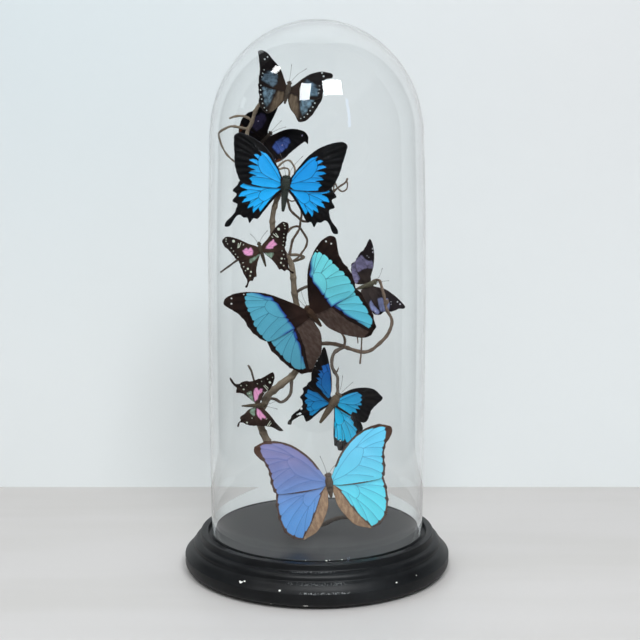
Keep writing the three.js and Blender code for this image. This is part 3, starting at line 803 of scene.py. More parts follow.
def buildBranch():
    names = {"stem": "greyBrownBark", "twig": "darkTwigBark", "red": "reddishTwigBark"}
    barks = {kind: barkMaterial(name, barkPlan[kind]) for kind, name in names.items()}
    for seed, (name, plan) in enumerate(branchPlan.items(), 1):
        isStem = name.startswith("stem")
        kind = "stem" if isStem else "red" if name in barkPlan["redLimbs"] else "twig"
        buildLimb(name, plan, seed, barks[kind])
    print("branch ready:", len(branchPlan), "limbs")


buildBranch()


# wings: outlines and veins of the right wings in mm, as seen from above with the head towards +Y; each vein end names
# the point of the cell where it starts
wingShapes = {
    "ulysses": {
        "fore": [(1.2, -1.5), (1.5, 3), (4, 8), (10, 18), (17, 28), (26, 36), (37, 41.5), (45, 43.3), (49.5, 42.5),
                 (51.3, 40), (51.2, 37), (50.4, 31), (49, 24), (48, 17), (46, 10), (43.8, 5), (41, 0.5), (36, -2.5),
                 (20, -3.5)],
        "hind": [(1.2, 1.5), (12, 3.5), (24, 4.5), (36, 4), (41, 2), (43, -2), (46.8, -7.5), (43, -10.5), (46, -17),
                 (41.7, -19.5), (42.3, -25), (45, -30), (50, -36), (50.8, -40), (46.5, -39.8), (42, -31.8),
                 (38.8, -28.8), (35, -30.8), (31.5, -31.2), (29, -35.5), (26, -31), (22.5, -31.2), (18, -25),
                 (12, -16), (6, -8), (1.5, -3)],
        "foreCell": [(4, 3), (14, 16), (24, 26), (27, 21), (26, 15), (22, 9), (12, 4.5), (4, 2)],
        "foreEnds": [(2, (46, 42.5)), (2, (50, 39)), (3, (49.3, 33)), (3, (48, 27)), (4, (47.1, 20)),
                     (4, (46, 13.5)), (5, (44, 8)), (6, (41, 3))],
        "hindCell": [(4, -2), (13, -2.5), (21, -6), (23, -12), (18, -15), (10, -9), (4, -3)],
        "hindEnds": [(1, (40, 0)), (2, (44, -7)), (2, (43.5, -16.5)), (3, (41, -24)), (3, (47, -37)),
                     (4, (34, -30)), (4, (27.5, -32)), (5, (19, -26))],
        "head": 9.5, "tail": 23, "girth": 4.4, "feeler": (9, 20), "legs": 3, "scallop": 0.5},
    "morpho": {
        "fore": [(1.2, -1.5), (2, 4), (4.5, 8.5), (8, 15.5), (12, 22.5), (17, 29), (23, 35), (30, 40.5), (38, 44.5),
                 (47, 46.7), (56, 46), (61, 43.5), (63, 40.5), (62, 36.5), (59, 32.5), (55.5, 28.5), (52.7, 20.5),
                 (52, 13), (51.5, 6), (48.5, -1.5), (40, -3.5), (20, -4)],
        "hind": [(1.2, 1.5), (12, 3.5), (28, 4.5), (42, 4.8), (47.5, 3), (50, -6), (50.5, -15), (50, -24), (48, -33),
                 (45.5, -38), (42, -41.5), (36, -45.5), (30, -46), (24.5, -44.5), (19, -42), (15, -38.5), (9, -30),
                 (4.5, -21), (3, -12), (1.2, -3)],
        "foreCell": [(4, 3), (14, 16), (28, 29), (34.8, 27.4), (33, 20), (28.5, 13), (15, 5.5), (4, 2)],
        "foreEnds": [(2, (52, 46.4)), (2, (61, 42.5)), (3, (58, 32)), (3, (54, 25)), (4, (52.3, 17)),
                     (4, (51.8, 9.5)), (5, (49.5, 1.5)), (6, (40, 0.5))],
        "hindCell": [(4, -2), (12, -1.5), (23.5, -5.2), (26, -12), (22, -17), (14.9, -11), (4, -4)],
        "hindEnds": [(1, (46, 2)), (2, (50.3, -10)), (2, (50, -22)), (3, (47, -35)), (4, (40.5, -42.5)),
                     (4, (31, -46)), (5, (22, -43.5)), (6, (12, -34))],
        "head": 9.0, "tail": 13.5, "girth": 3.8, "feeler": (8, 17), "legs": 2, "scallop": 0.85},
    "banded": {
        "fore": [(1.2, -1.5), (1.8, 4), (4, 9), (8, 16), (13, 23.5), (18, 30.5), (24, 37.5), (31, 43.5), (39, 48.5),
                 (47, 51.5), (54, 52.5), (58.5, 51), (60, 47.5), (58.5, 43), (56, 38.5), (54, 33), (53, 26),
                 (53.5, 18.5), (52.5, 11.5), (50, 4), (47, -1), (40, -3.5), (20, -4)],
        "hind": [(1.2, 1.5), (12, 4), (26, 5), (40, 5.5), (46, 4), (48.5, -3), (49, -8), (48, -15), (47.5, -22),
                 (46, -29), (43.5, -35), (41, -41), (36, -44), (31, -46), (26, -45), (19, -39.5), (13, -33.5),
                 (8, -27), (4, -19), (3, -10), (1.2, -3)],
        "foreCell": [(4, 3), (13, 17), (25, 31), (31, 28), (31, 21), (26, 13), (14, 5.5), (4, 2)],
        "foreEnds": [(2, (49, 51.8)), (2, (59.5, 48)), (3, (56, 38.5)), (3, (53.3, 30)), (4, (53.3, 21)),
                     (4, (52.8, 12.5)), (5, (50, 5)), (6, (42, 0.5))],
        "hindCell": [(4, -2), (12, -1), (22, -4), (25, -11), (21, -17), (14, -12), (4, -4)],
        "hindEnds": [(1, (45, 2)), (2, (48.9, -7)), (2, (47.8, -19)), (3, (45.5, -30)), (4, (41, -41)),
                     (4, (33, -45)), (5, (23, -42.5)), (6, (12, -32))],
        "head": 8.5, "tail": 16, "girth": 3.6, "feeler": (6, 17), "legs": 2, "scallop": 0.5},
    "hooked": {
        "fore": [(0.8, -2), (1.2, 3), (3.1, 6), (6.2, 14), (10.4, 21.2), (16, 26.6), (22, 30), (28, 31.6),
                 (33.3, 30.2), (38.4, 25.9), (34.2, 25.5), (33.4, 22), (33, 17.3), (32.6, 10), (32.2, 2.6), (30, -3),
                 (14, -3.5)],
        "hind": [(0.8, 1.5), (14, 4), (27, 4.5), (31.5, 0), (32, -5), (30, -10), (26, -16), (21, -21), (15, -24),
                 (10, -22), (5, -14), (1, -5)],
        "foreCell": [(3, 3), (8, 12), (15, 20), (17, 16), (15, 10), (9, 4), (3, 2)],
        "foreEnds": [(2, (33, 36.5)), (2, (34.5, 31.5)), (3, (29.8, 26)), (3, (29.4, 19)), (4, (29, 12.5)),
                     (4, (28, 6)), (5, (24, 2))],
        "hindCell": [(3, -2), (8, -1), (13, -4), (13, -9), (8, -7), (3, -3)],
        "hindEnds": [(1, (27, 1)), (2, (30, -5)), (2, (28.8, -12)), (3, (24.5, -19.5)), (3, (18, -24)),
                     (4, (11, -22)), (5, (5.5, -14))],
        "head": 7.5, "tail": 14, "girth": 2.7, "feeler": (4, 13), "legs": 2, "scallop": 0.4},
    "scalloped": {
        "fore": [(0.9, -1.5), (1.4, 2), (3.2, 5), (7, 10.6), (12, 15.4), (18, 20), (24.4, 23.2), (30, 25),
                 (34.5, 24.6), (35.6, 21.8), (33, 17.6), (30.6, 14), (29.6, 9), (29.6, 3), (27.5, -2), (14, -3.5)],
        "hind": [(0.9, 1.5), (12, 3.5), (25, 3.5), (29.5, 0.5), (29, -5), (27.6, -9), (26, -13.5), (24, -18.5),
                 (20.5, -22.5), (16.5, -25.2), (13, -24.2), (9.4, -20), (5.4, -14), (1.5, -6)],
        "foreCell": [(3, 3), (9, 11), (16, 16.5), (18, 13), (15, 8), (9, 3.5), (3, 2)],
        "foreEnds": [(2, (31, 25.4)), (2, (35.7, 22.5)), (3, (31, 16)), (3, (29, 11.5)), (4, (28.5, 7)),
                     (4, (28, 3.5)), (5, (20, 1))],
        "hindCell": [(3, -2), (8, -1), (13, -3), (13, -8), (8, -7), (3, -3)],
        "hindEnds": [(1, (27, 1)), (2, (28.2, -4)), (2, (26.7, -10)), (3, (24, -16.5)), (3, (19, -23)),
                     (4, (12.5, -23)), (5, (6.5, -15))],
        "head": 7.7, "tail": 13, "girth": 2.8, "feeler": (5, 16), "legs": 2, "scallop": 0.7},
    "pink": {
        "fore": [(0.9, -2.5), (1.2, 1.5), (3.4, 4), (9.5, 8), (15.5, 13), (21.5, 17), (26.5, 18.8), (30, 18),
                 (31.5, 15.5), (31, 11.5), (28, 7), (25.5, 1.5), (22.5, -4), (18, -5.5), (8, -5)],
        "hind": [(0.9, 0.5), (8, 1.5), (16, 0.5), (21.5, -3), (22, -9), (21.5, -14), (21, -18.5), (20, -22),
                 (21, -25.5), (23.8, -28.3), (22.3, -29.5), (19, -25.5), (17.5, -24.5), (15.5, -25), (13, -22.5),
                 (11, -22.5), (9.5, -17), (6.5, -11), (2.5, -5)],
        "foreCell": [(3, 1.5), (9, 6.5), (15, 10), (17, 7), (14, 3), (8, 0.5), (3, 0.8)],
        "foreEnds": [(2, (27, 18.5)), (2, (31, 16)), (3, (30, 10)), (3, (28, 6.5)), (4, (26, 2.5)),
                     (4, (24, -1.5)), (5, (18, -3))],
        "hindCell": [(3, -2.5), (8, -2.5), (12, -5), (12, -9), (7, -7), (3, -3.5)],
        "hindEnds": [(1, (21.5, -5)), (2, (21.9, -10)), (2, (21.3, -16)), (3, (20.5, -21)), (3, (22.5, -28)),
                     (4, (15.5, -24.5)), (5, (9.5, -17))],
        "head": 6.5, "tail": 16.5, "girth": 2.4, "feeler": (4, 11), "legs": 3, "scallop": 0.5},
}

# azure of the big swallowtails: teeth towards the margin with the dark veins between them
azureFore = [(8.7, 13.5), (13.5, 19.3), (17.4, 24.1), (20.7, 27), (23.8, 27.6), (27, 29.8), (24.8, 24.4), (29, 25.4),
             (32.2, 24.6), (26.8, 20.2), (32, 20.9), (35.4, 19.4), (27.6, 15.8), (33, 15.8), (36, 13.8), (26.8, 11),
             (32, 10.4), (34.4, 8.2), (26, 6.4), (31, 5.4), (32.8, 3), (30, 0.6), (30, -1.8), (20, -3), (8, -2.8),
             (4.2, 0.2), (5, 6)]
azureHind = [(3, 1.2), (10, 3), (22, 4), (30, 3.4), (37, 0.6), (40.4, -3.2), (34, -6.2), (38.8, -8.6), (40.8, -12.4),
             (32.8, -12.4), (35.6, -14.6), (37.2, -17.6), (29.8, -16), (31.4, -19), (31.8, -22.4), (26.6, -19.6),
             (27.8, -22.6), (26.4, -26), (22.2, -21.8), (20.4, -24.4), (14.3, -16.2), (8, -7), (3.4, -3)]
morphoBeige = [(0, 2), (4, -2), (8.2, -8.4), (11.6, -14.6), (15.3, -21.8), (19.6, -29), (23.9, -35.4), (28.4, -41),
               (33, -47), (20, -50), (0, -40)]

# place, turn and size of each, degrees the right and left wings are raised and swung, and its own outlines and markings
butterflies = {
    "top_butterfly": {
        "kind": "scalloped", "size": 1.03, "at": (-26, -18, 441), "turn": (-13, -6, 5), "raise": (9, 22),
        "fore": (-2, -2), "hind": (2, -2), "slot": "steel_wing", "look": "steel",
        "outline": {
            "fore": [(0.9, -1.5), (1.5, 2), (3.4, 4), (6, 7), (9.9, 12.2), (15.2, 17.6), (22.3, 21.2), (28.2, 22.7),
                     (32.8, 22.5), (34.9, 21.2), (35, 19.3), (32.2, 17.9), (28.8, 15.6), (29.2, 10.8), (30.5, 6.6),
                     (30.3, 1), (26, -3), (14, -3.5)],
            "hind": [(0.9, 1.5), (14, 3.5), (27, 3.5), (30.8, 1.2), (31, -4.1), (28.5, -9.9), (26.8, -14.7),
                     (24.2, -19.6), (20.6, -23.8), (14.7, -25.8), (10.1, -20.4), (4.7, -15.2), (1, -6)],
            "foreLeft": [(0.9, -1.5), (1.6, 2), (3.2, 4.2), (6.2, 8.7), (9.1, 13.1), (12.8, 16.5), (16.3, 18.9),
                         (20.7, 21.2), (25.2, 24.2), (31.2, 25), (34.2, 23.6), (32.3, 16.8), (30.4, 10.4),
                         (29.5, 6.3), (29.5, 1.1), (27.6, -3), (14, -3.5)],
            "hindLeft": [(0.9, 1.5), (14, 3.5), (26, 3), (28.2, -2.6), (27, -7.7), (25.4, -12.5), (24, -19.1),
                         (19.3, -23), (16, -24.8), (12.3, -23.8), (6.8, -17.9), (1.5, -10.2), (0.8, -4)]},
        "patch": {"fore": [(13.9, 12.3), (18.2, 11.2), (22.8, 9.2), (26.1, 6), (26.4, 1), (15, -1.5), (11, 3)],
                  "hind": [(10, 3), (24, 3), (24, -5), (22.4, -9.4), (20, -15), (17.6, -20), (14.6, -16), (12.5, -8)]},
        "second": {"hind": [(2, 0), (10, -1), (12.3, -8), (15, -17), (15.5, -25), (8, -24), (0, -10)]},
        "spots": {"fore": [(25.2, 21.2, 0.7), (27.3, 18.7, 0.75), (26, 9.8, 0.5), (26.7, 6.6, 0.5), (26.9, 3.4, 0.5)],
                  "hind": [(25.9, -3.6, 0.62), (25.4, -7.4, 0.62), (24.3, -11, 0.62), (22.7, -14.6, 0.6),
                           (20.9, -17.8, 0.6), (18.6, -20.9, 0.55), (15.9, -22.6, 0.5)]},
        "feelers": {-1: (-1.8, 22.7), 1: (12.1, 22.4)},
        "body": {"coat": srgb(58, 48, 42), "under": srgb(92, 84, 74)}},
    "hooked_butterfly": {
        "kind": "hooked", "size": 0.98, "at": (-48, 22, 402), "turn": (-44, 0, 2), "raise": (32, 38),
        "fore": (-5, -4), "hind": (10, 0), "slot": "violet_wing", "look": "violet",
        "outline": {
            "foreLeft": [(0.8, -2), (1.5, 3), (4.5, 6.9), (7.8, 14.5), (10, 22), (13, 29.5), (19, 33.5), (26, 35.5),
                         (31, 34), (31.6, 29.5), (29.6, 26), (29.6, 19), (30.4, 13), (34.4, 7.4), (35.4, 0), (33, -5),
                         (14, -3.5)],
            "hindLeft": [(0.8, 1.5), (14, 4), (27, 8), (33.5, 4), (34.5, -2.9), (30.9, -10.2), (25.6, -16.1),
                         (20, -20.5), (14, -22.5), (9, -20), (5, -14), (1, -5)]},
        "patch": {"fore": [(14, 13), (18.6, 16.5), (23.5, 14.5), (25.5, 9), (25.2, 3), (24, -1), (14, -1), (11.5, 5)],
                  "hind": [(13, 3), (24, 3), (24.5, -3), (21, -7), (16, -6.5), (12, -3)]},
        "second": {"hind": [(31, -6), (28.6, -13), (23, -20.5), (16, -25.8), (11, -25), (15, -22.6), (21, -18.6),
                            (26, -12), (28.4, -6)]},
        "spots": {"fore": [(27.1, 27.3, 0.8), (19.9, 7.2, 0.7)], "hind": [(25.5, -8, 0.4), (23.4, -13, 0.4)]},
        "feelers": {-1: (-0.6, 21.7), 1: (6.6, 20.3)},
        "body": {"coat": srgb(44, 38, 36), "under": srgb(84, 74, 66)}},
    "upper_swallowtail": {
        "kind": "ulysses", "size": 1.01, "at": (-28, -25, 355), "turn": (-6, -9, -3), "raise": (9, 0),
        "fore": (-1, 1), "hind": (1, -1), "slot": "azure_wing", "look": "azure",
        "patch": {"fore": azureFore, "hind": azureHind},
        "feelers": {-1: (-8, 29), 1: (12.7, 28.6)},
        "body": {"coat": srgb(30, 36, 34), "under": srgb(66, 70, 62)}},
    "upper_pink_swallowtail": {
        "kind": "pink", "size": 1.0, "at": (-51, -20, 298.5), "turn": (16, 2, -1), "raise": (12, 8),
        "fore": (-1, 1), "hind": (1, -1), "slot": "pink_wing", "look": "pink",
        "patch": {"fore": [(5, -0.2), (6.1, 1.2), (10.2, 3.9), (14.6, 5.8), (15, 3.5), (16.6, 0.7), (13.4, -0.2),
                           (11.8, -1.9), (7.9, -1.4)],
                  "foreLeft": [(16.4, 3.2), (13.8, 4.2), (12.2, 4.7), (11.1, 2.8), (8.2, 4.1), (6.9, 0.3), (8.7, -3),
                               (12.8, -2.5), (15.2, -0.9)]},
        "second": {"hind": [(2, 1), (6, -0.4), (9.6, -3), (9.8, -7.1), (7, -9.4), (4, -5.5)],
                   "hindLeft": [(9.5, -1.6), (5.8, 0), (2, -0.6), (3, -3.4), (7.6, -6.5), (12.3, -8.4)]},
        "spots": {"fore": [(21.7, 13.5, 1.25), (27.6, 17.1, 0.5), (28.2, 15.2, 0.5), (27.5, 12.6, 0.5),
                           (25.3, 8, 0.5), (24.2, 5, 0.5), (23.2, 1.7, 0.5), (21.8, -1.4, 0.5)],
                  "hind": [(16.4, -13.4, 0.95), (14.5, -16.9, 0.85), (16.3, -20.1, 0.7), (18.9, -6.8, 0.55),
                           (19.4, -10.4, 0.55), (19, -14.4, 0.5)]},
        "bars": [((15.7, 10.6), (18.6, 6.7)), ((18, 10.6), (19.6, 6.6)), ((13.6, 8.6), (14.4, 7.6))],
        "feelers": {-1: (-5, 16), 1: (10.9, 14.6)},
        "body": {"coat": srgb(34, 32, 30), "under": srgb(96, 84, 66)}},
    "banded_morpho": {
        "kind": "banded", "size": 1.03, "at": (-5, -24, 240.5), "turn": (36, 15, -5), "raise": (15, 1),
        "fore": (1, 4), "hind": (1, -1), "slot": "banded_wing", "look": "banded",
        "patch": {"fore": [(25.8, 36), (28.6, 40.4), (33.7, 44.5), (38.2, 46.3), (41.1, 45.2), (42, 42.5),
                           (43.5, 41.3), (44.4, 37), (45.5, 33.7), (45.6, 30.3), (46.1, 25.7), (46.8, 22),
                           (48.1, 18.8), (48, 15.4), (48.6, 12.6), (48.2, 9.4), (47.9, 5.7), (46, -4), (19.4, -4),
                           (19.7, 11.2), (20.2, 17.9), (19.8, 25.5), (21.6, 32.4)],
                  "hind": [(19, 6), (42, 6), (44.1, -1.1), (44.4, -4.6), (45.1, -8.1), (44.6, -11.5), (44.8, -15.4),
                           (44.3, -18.4), (44.4, -22.1), (43.1, -27.1), (42.4, -33.2), (38.8, -38), (34.6, -38.8),
                           (32.1, -32.2), (28.5, -25), (25.2, -17.3), (22.7, -8.7), (19.1, 0)]},
        "second": {"hind": [(0, 4), (14, 3), (18.5, -2), (20, -10), (23.5, -22), (29, -33), (33, -42), (20, -46),
                            (0, -30)]},
        "spots": {"fore": [(51.6, 49.4, 0.75), (54.2, 45.4, 0.8), (40.6, 46.9, 0.5)]},
        "feelers": {-1: (-3.1, 28.6), 1: (5.8, 25.6)},
        "body": {"coat": srgb(44, 34, 28), "under": srgb(84, 60, 44)}},
    "lilac_butterfly": {
        "kind": "scalloped", "size": 1.0, "at": (48.5, 4, 265), "turn": (-70, -3, 0), "raise": (12, 11),
        "fore": (-1, -14), "hind": (9, 12), "slot": "lilac_wing", "look": "lilac",
        "outline": {
            "fore": [(0.8, -1.5), (1.5, 2), (3.7, 4.7), (9, 12.7), (13.3, 16.2), (19.5, 19.9), (26.7, 23.2),
                     (31.2, 24.6), (32.2, 23.2), (30.8, 17.8), (31.3, 13.7), (31.3, 10.7), (29.6, 7.4), (27, 1),
                     (14, -3)],
            "hind": [(0.8, 1.5), (12, 3.5), (22.9, 5), (28, 2), (30.1, -4), (28.2, -8.3), (22.6, -10.5),
                     (14.6, -11.3), (6.2, -10.9), (1, -9), (0.6, -3)],
            "foreLeft": [(0.8, -1.5), (1.6, 1), (4.1, 3.7), (8.6, 8.8), (12.7, 13.1), (18.8, 17.5), (25.4, 21.2),
                         (31.6, 23.7), (36, 24), (35.5, 21.4), (32.8, 17), (31, 13), (31, 9.7), (28.9, 6.1),
                         (27.6, 3.5), (25, -0.5), (14, -3)],
            "hindLeft": [(0.8, 1.5), (10, 2.5), (18, 1), (24, -3), (25.2, -7.9), (24.1, -10.3), (22.7, -13.3),
                         (18.1, -14.8), (13.3, -14.9), (8.3, -14.1), (4.5, -13.9), (2.1, -11), (0.8, -4)]},
        "patch": {"fore": [(16.7, 4), (17.2, 8), (19, 11), (24.3, 10.9), (28.5, 8), (27.4, 3)],
                  "hind": [(13.6, -4), (14, 1.4), (20.4, 2), (26, -0.6), (27.2, -6.6), (21.9, -8.2), (16.9, -7.5)],
                  "foreLeft": [(26.6, 3.2), (26.9, 8.2), (22.5, 8.7), (19.1, 10.4), (17.6, 13.4), (12.7, 11.4),
                               (15.2, 8.5), (17, 5), (17.4, -1), (24, -1)],
                  "hindLeft": [(19.9, -13.7), (22.8, -8.6), (18.1, -4.6), (12.7, -4), (8.6, -8), (4.2, -11.7),
                               (6.4, -13.8), (14.1, -13.6)]},
        "spots": {"fore": [(27.2, 21.1, 0.75), (24.4, 19.6, 0.7), (22.4, 13.9, 0.45), (24.6, 13.2, 0.45)],
                  "hind": [(25.9, -2.8, 0.55), (24.9, -7, 0.55), (23.4, -11, 0.5), (21.6, -14.8, 0.5)]},
        "feelers": {-1: (-10.2, 17.1), 1: (3, 19)},
        "body": {"coat": srgb(74, 70, 56), "under": srgb(110, 105, 90)}},
    "lower_pink_swallowtail": {
        "kind": "pink", "size": 0.96, "at": (-53.5, -19.5, 155), "turn": (-86, 10, 3), "raise": (-2, 5),
        "fore": (0, 2), "hind": (4, 5), "slot": "pink_wing", "look": "pink",
        "outline": {
            "fore": [(0.9, -2.5), (1.6, 2), (3.7, 4.8), (7.3, 8.4), (11.9, 11.9), (17.1, 15.3), (21.5, 18.8),
                     (26, 22.1), (25.4, 17.5), (22.5, 12.8), (21.1, 9), (20.4, 4.1), (19.9, -0.5), (17, -4),
                     (8, -4.5)],
            "hind": [(0.9, 0.5), (8, 1.5), (17, 1.5), (20.2, -0.5), (19.8, -4.4), (19.3, -9.3), (17.8, -14.1),
                     (15.8, -17.8), (15, -21.2), (19.3, -23.6), (18.4, -25), (14.6, -22.6), (12.8, -20.3),
                     (10.7, -20.9), (8.8, -19.6), (6.6, -15.2), (3.6, -11.7), (2.1, -7.4)],
            "foreLeft": [(0.9, -2.5), (1.6, 0.5), (4, 2), (7.5, 3.7), (14, 8.1), (15.5, 11.6), (19.5, 14.3),
                         (25.4, 16.9), (29.4, 17.8), (33.4, 16.8), (32.4, 13.3), (29.8, 9.2), (27.8, 5.2),
                         (26.6, 0.2), (24.6, -3.6), (18, -5.5), (8, -5)],
            "hindLeft": [(0.9, 0.5), (8, 1.5), (18, 0.5), (23, -1), (24.6, -4.4), (23.9, -8.3), (24.3, -11.3),
                         (23.3, -15.2), (21.1, -18.2), (20.8, -22.2), (24.2, -25), (27.1, -27.4), (25.7, -28.1),
                         (22.1, -26.1), (18.2, -23.2), (16.3, -21.3), (11.7, -22.1), (11.6, -18.5), (10.7, -14.6),
                         (7.7, -10.7), (3.9, -5.9)]},
        "patch": {"fore": [(2.5, -2), (4.1, 0.8), (7.6, 2.9), (11.7, 6.3), (13.3, 5.3), (12.1, 3), (14.2, 1.3),
                           (12, -1), (8.4, -2.6)],
                  "foreLeft": [(14.6, -3.6), (17.6, -2.4), (18.3, 0.1), (15.6, 1.3), (17.6, 3.5), (16.7, 5.5),
                               (13.7, 4.4), (11.1, 1.5), (6.5, -0.3), (4.5, -3.4), (9.6, -4)]},
        "second": {"hind": [(1.6, -6.4), (2, -2), (7.6, -2), (9.2, -6.6), (5.9, -9.1)],
                   "hindLeft": [(11.7, -10.6), (13.4, -7.6), (11, -4), (4, -2), (2.5, -4), (5.3, -6.8)]},
        "spots": {"fore": [(23.5, 12.9, 1.15), (28.4, 15.9, 0.5), (26.8, 11, 0.5), (24.6, 5, 0.5), (22.3, 0.6, 0.5)],
                  "hind": [(15.6, -14.4, 0.9), (19.3, -16.9, 0.6), (19.8, -11.4, 0.55), (11.8, -8.8, 0.6)]},
        "bars": [((15.5, 10.1), (20.3, 6.7)), ((17.6, 10.8), (20.8, 8)), ((12.9, 7.2), (13.8, 6.2))],
        "body": {"coat": srgb(40, 36, 30), "under": srgb(112, 98, 78)}},
    "lower_swallowtail": {
        "kind": "ulysses", "size": 0.84, "at": (15.5, -20, 158), "turn": (-34, -6, 0), "raise": (10, 12),
        "fore": (5, -3), "hind": (-10, -14), "slot": "azure_wing", "look": "azureWorn",
        "outline": {
            "fore": [(1.2, -2), (1.2, 4), (1.8, 9.6), (5.5, 15.6), (10.6, 22.2), (17.6, 27.8), (25.2, 32),
                     (30.7, 33.3), (35.9, 33), (41.8, 31.3), (44.8, 29.2), (43.5, 23.5), (42, 19.6), (40.7, 15.1),
                     (40.3, 11.2), (41, 6.6), (41.6, 2), (41.3, -1.9), (38.7, -4.2), (32.6, -4.6), (25, -4.6),
                     (15.5, -4.2), (5, -4)],
            "hind": [(1.2, 1.5), (12, 4), (25.2, 5), (33.3, 5.6), (39.5, 3.8), (43.6, 0.6), (43.2, -6), (42.4, -12.1),
                     (43.6, -18.3), (43.4, -24.5), (43.3, -29.1), (42.1, -32.5), (39.4, -34.4), (36, -32.5),
                     (33.2, -33.6), (28.7, -29.7), (20.8, -22.2), (13.6, -14), (6.1, -6.1), (1.5, -2)],
            "foreLeft": [(1.2, -2), (3, 1), (7.2, 4), (9.7, 10.2), (15.4, 19.7), (20.8, 26.9), (26.9, 33.6),
                         (34.1, 40.9), (40.1, 46.3), (42.5, 46.2), (42.4, 42.5), (41, 38.2), (41.6, 32.8), (41.2, 28),
                         (40.9, 23.1), (39.9, 17.3), (38, 12.1), (35.6, 8.4), (36.8, 3.9), (29.4, 0.3), (21.8, 0.2),
                         (12, -2), (4, -3)],
            "hindLeft": [(1.2, 2), (8, 6.5), (16, 9.5), (24, 12), (32, 12.4), (35.4, 11.8), (35.8, 8.1), (38.9, 3.6),
                         (36.3, -0.1), (38, -6.5), (34.7, -9), (32.6, -13), (34, -18.6), (37.4, -23.8), (39.8, -28.7),
                         (39.6, -31.5), (41.3, -35.6), (40.6, -38.8), (36.9, -38), (37.1, -34.2), (34.2, -29.8),
                         (31.6, -26.6), (28.2, -24), (25.4, -26.4), (22, -29.9), (19.2, -27.9), (15.4, -22),
                         (11, -14.7), (6.1, -8.4), (1.5, -3)]},
        "patch": {"fore": [(1.9, 4), (7, 12.2), (12.5, 18.4), (17.7, 22.6), (20.2, 21.9), (23.6, 21.3), (23.2, 18.6),
                           (26.5, 17.2), (25.6, 14.3), (28.6, 12.2), (25, 9.6), (28.8, 7.3), (24.7, 5.7), (28, 1.9),
                           (22.9, 0.9), (23, -2.7), (15.2, -2.1), (6.1, -1.5)],
                  "hind": [(2, -1), (10, 2.4), (16.3, 3), (24, 2.4), (24.8, 0.8), (30.9, -0.3), (32.4, -3.4),
                           (38.5, -3.5), (40.8, -7.4), (43, -8), (42.4, -12.9), (42.8, -19.8), (40, -21.7),
                           (36.6, -20.5), (36.9, -24.8), (32.7, -23.5), (32.2, -27), (26.9, -26.2), (21.4, -21),
                           (9.9, -9.4)],
                  "foreLeft": [(30.3, 31.6), (28.5, 33.6), (25.8, 31.2), (19.8, 24.4), (13, 14.4), (6.4, 3),
                               (8.5, 0.7), (18.2, 3.6), (26.3, 6), (30.1, 9), (27.7, 12.2), (32.2, 13.5),
                               (29.4, 16.3), (33.6, 17.8), (30, 20.4), (34.2, 21.9), (30.5, 24.5), (33.6, 27.3)],
                  "hindLeft": [(32.7, 4.5), (26.4, 3.7), (19.6, 4.8), (11.4, 2.2), (4.4, -0.2), (5, -4.4),
                               (10.2, -9.6), (14.7, -16.9), (17.8, -21.4), (21.6, -21.6), (22.6, -17.9), (27.9, -16),
                               (27.1, -11.7), (32, -9.8), (30.2, -5.1), (34, -2.9), (32.6, 1.1)]},
        "spots": {"foreLeft": [(41.5, 37.6, 0.7), (41.6, 34.4, 0.6), (41.1, 29.7, 0.7), (39.9, 23.7, 0.5)],
                  "hind": [(34.2, -25.2, 0.9), (28.8, -25.6, 0.6)]},
        "holes": {"hindLeft": [[(34, -25), (32.4, -22.2), (29.8, -22.8), (31.6, -25)],
                               [(34, -18), (32.7, -16), (30.8, -17.6), (31.9, -19.6)]]},
        "feelers": {-1: (-7, 25), 1: (4.3, 25.2)},
        "body": {"coat": srgb(74, 62, 52), "under": srgb(120, 104, 86)}},
    "blue_morpho": {
        "kind": "morpho", "size": 1.0, "at": (11, -50, 90), "turn": (8, 2, 1), "raise": (3, 8),
        "fore": (1, 1), "hind": (0, -2), "slot": "morpho_wing", "look": "morpho",
        "patch": {"fore": [(0, -4), (0, 12), (8.5, 15), (12.5, 22), (17.5, 28.3), (23.5, 34.4), (30.4, 39.7),
                           (38.2, 43.6), (47, 45.6), (54.5, 45.2), (58.4, 43.5), (57.8, 38), (56, 31.5), (54.4, 27.8),
                           (51.8, 20.5), (51.1, 13), (50.6, 6), (47.5, -4), (25, -4)],
                  "hind": [(0, 4), (46, 5), (49.2, -6), (49.6, -15), (49.1, -24), (47.2, -32.5), (44.8, -37.3),
                           (41.4, -40.8), (36.4, -44.2), (32, -45.6), (28.4, -41), (23.9, -35.4), (19.6, -29),
                           (15.3, -21.8), (11.6, -14.6), (8.2, -8.4), (3, -3)]},
        "second": {"hind": morphoBeige},
        "feelers": {-1: (-4.7, 26), 1: (9.5, 17.4)},
        "body": {"coat": srgb(66, 54, 46), "under": srgb(112, 94, 78)}},
}

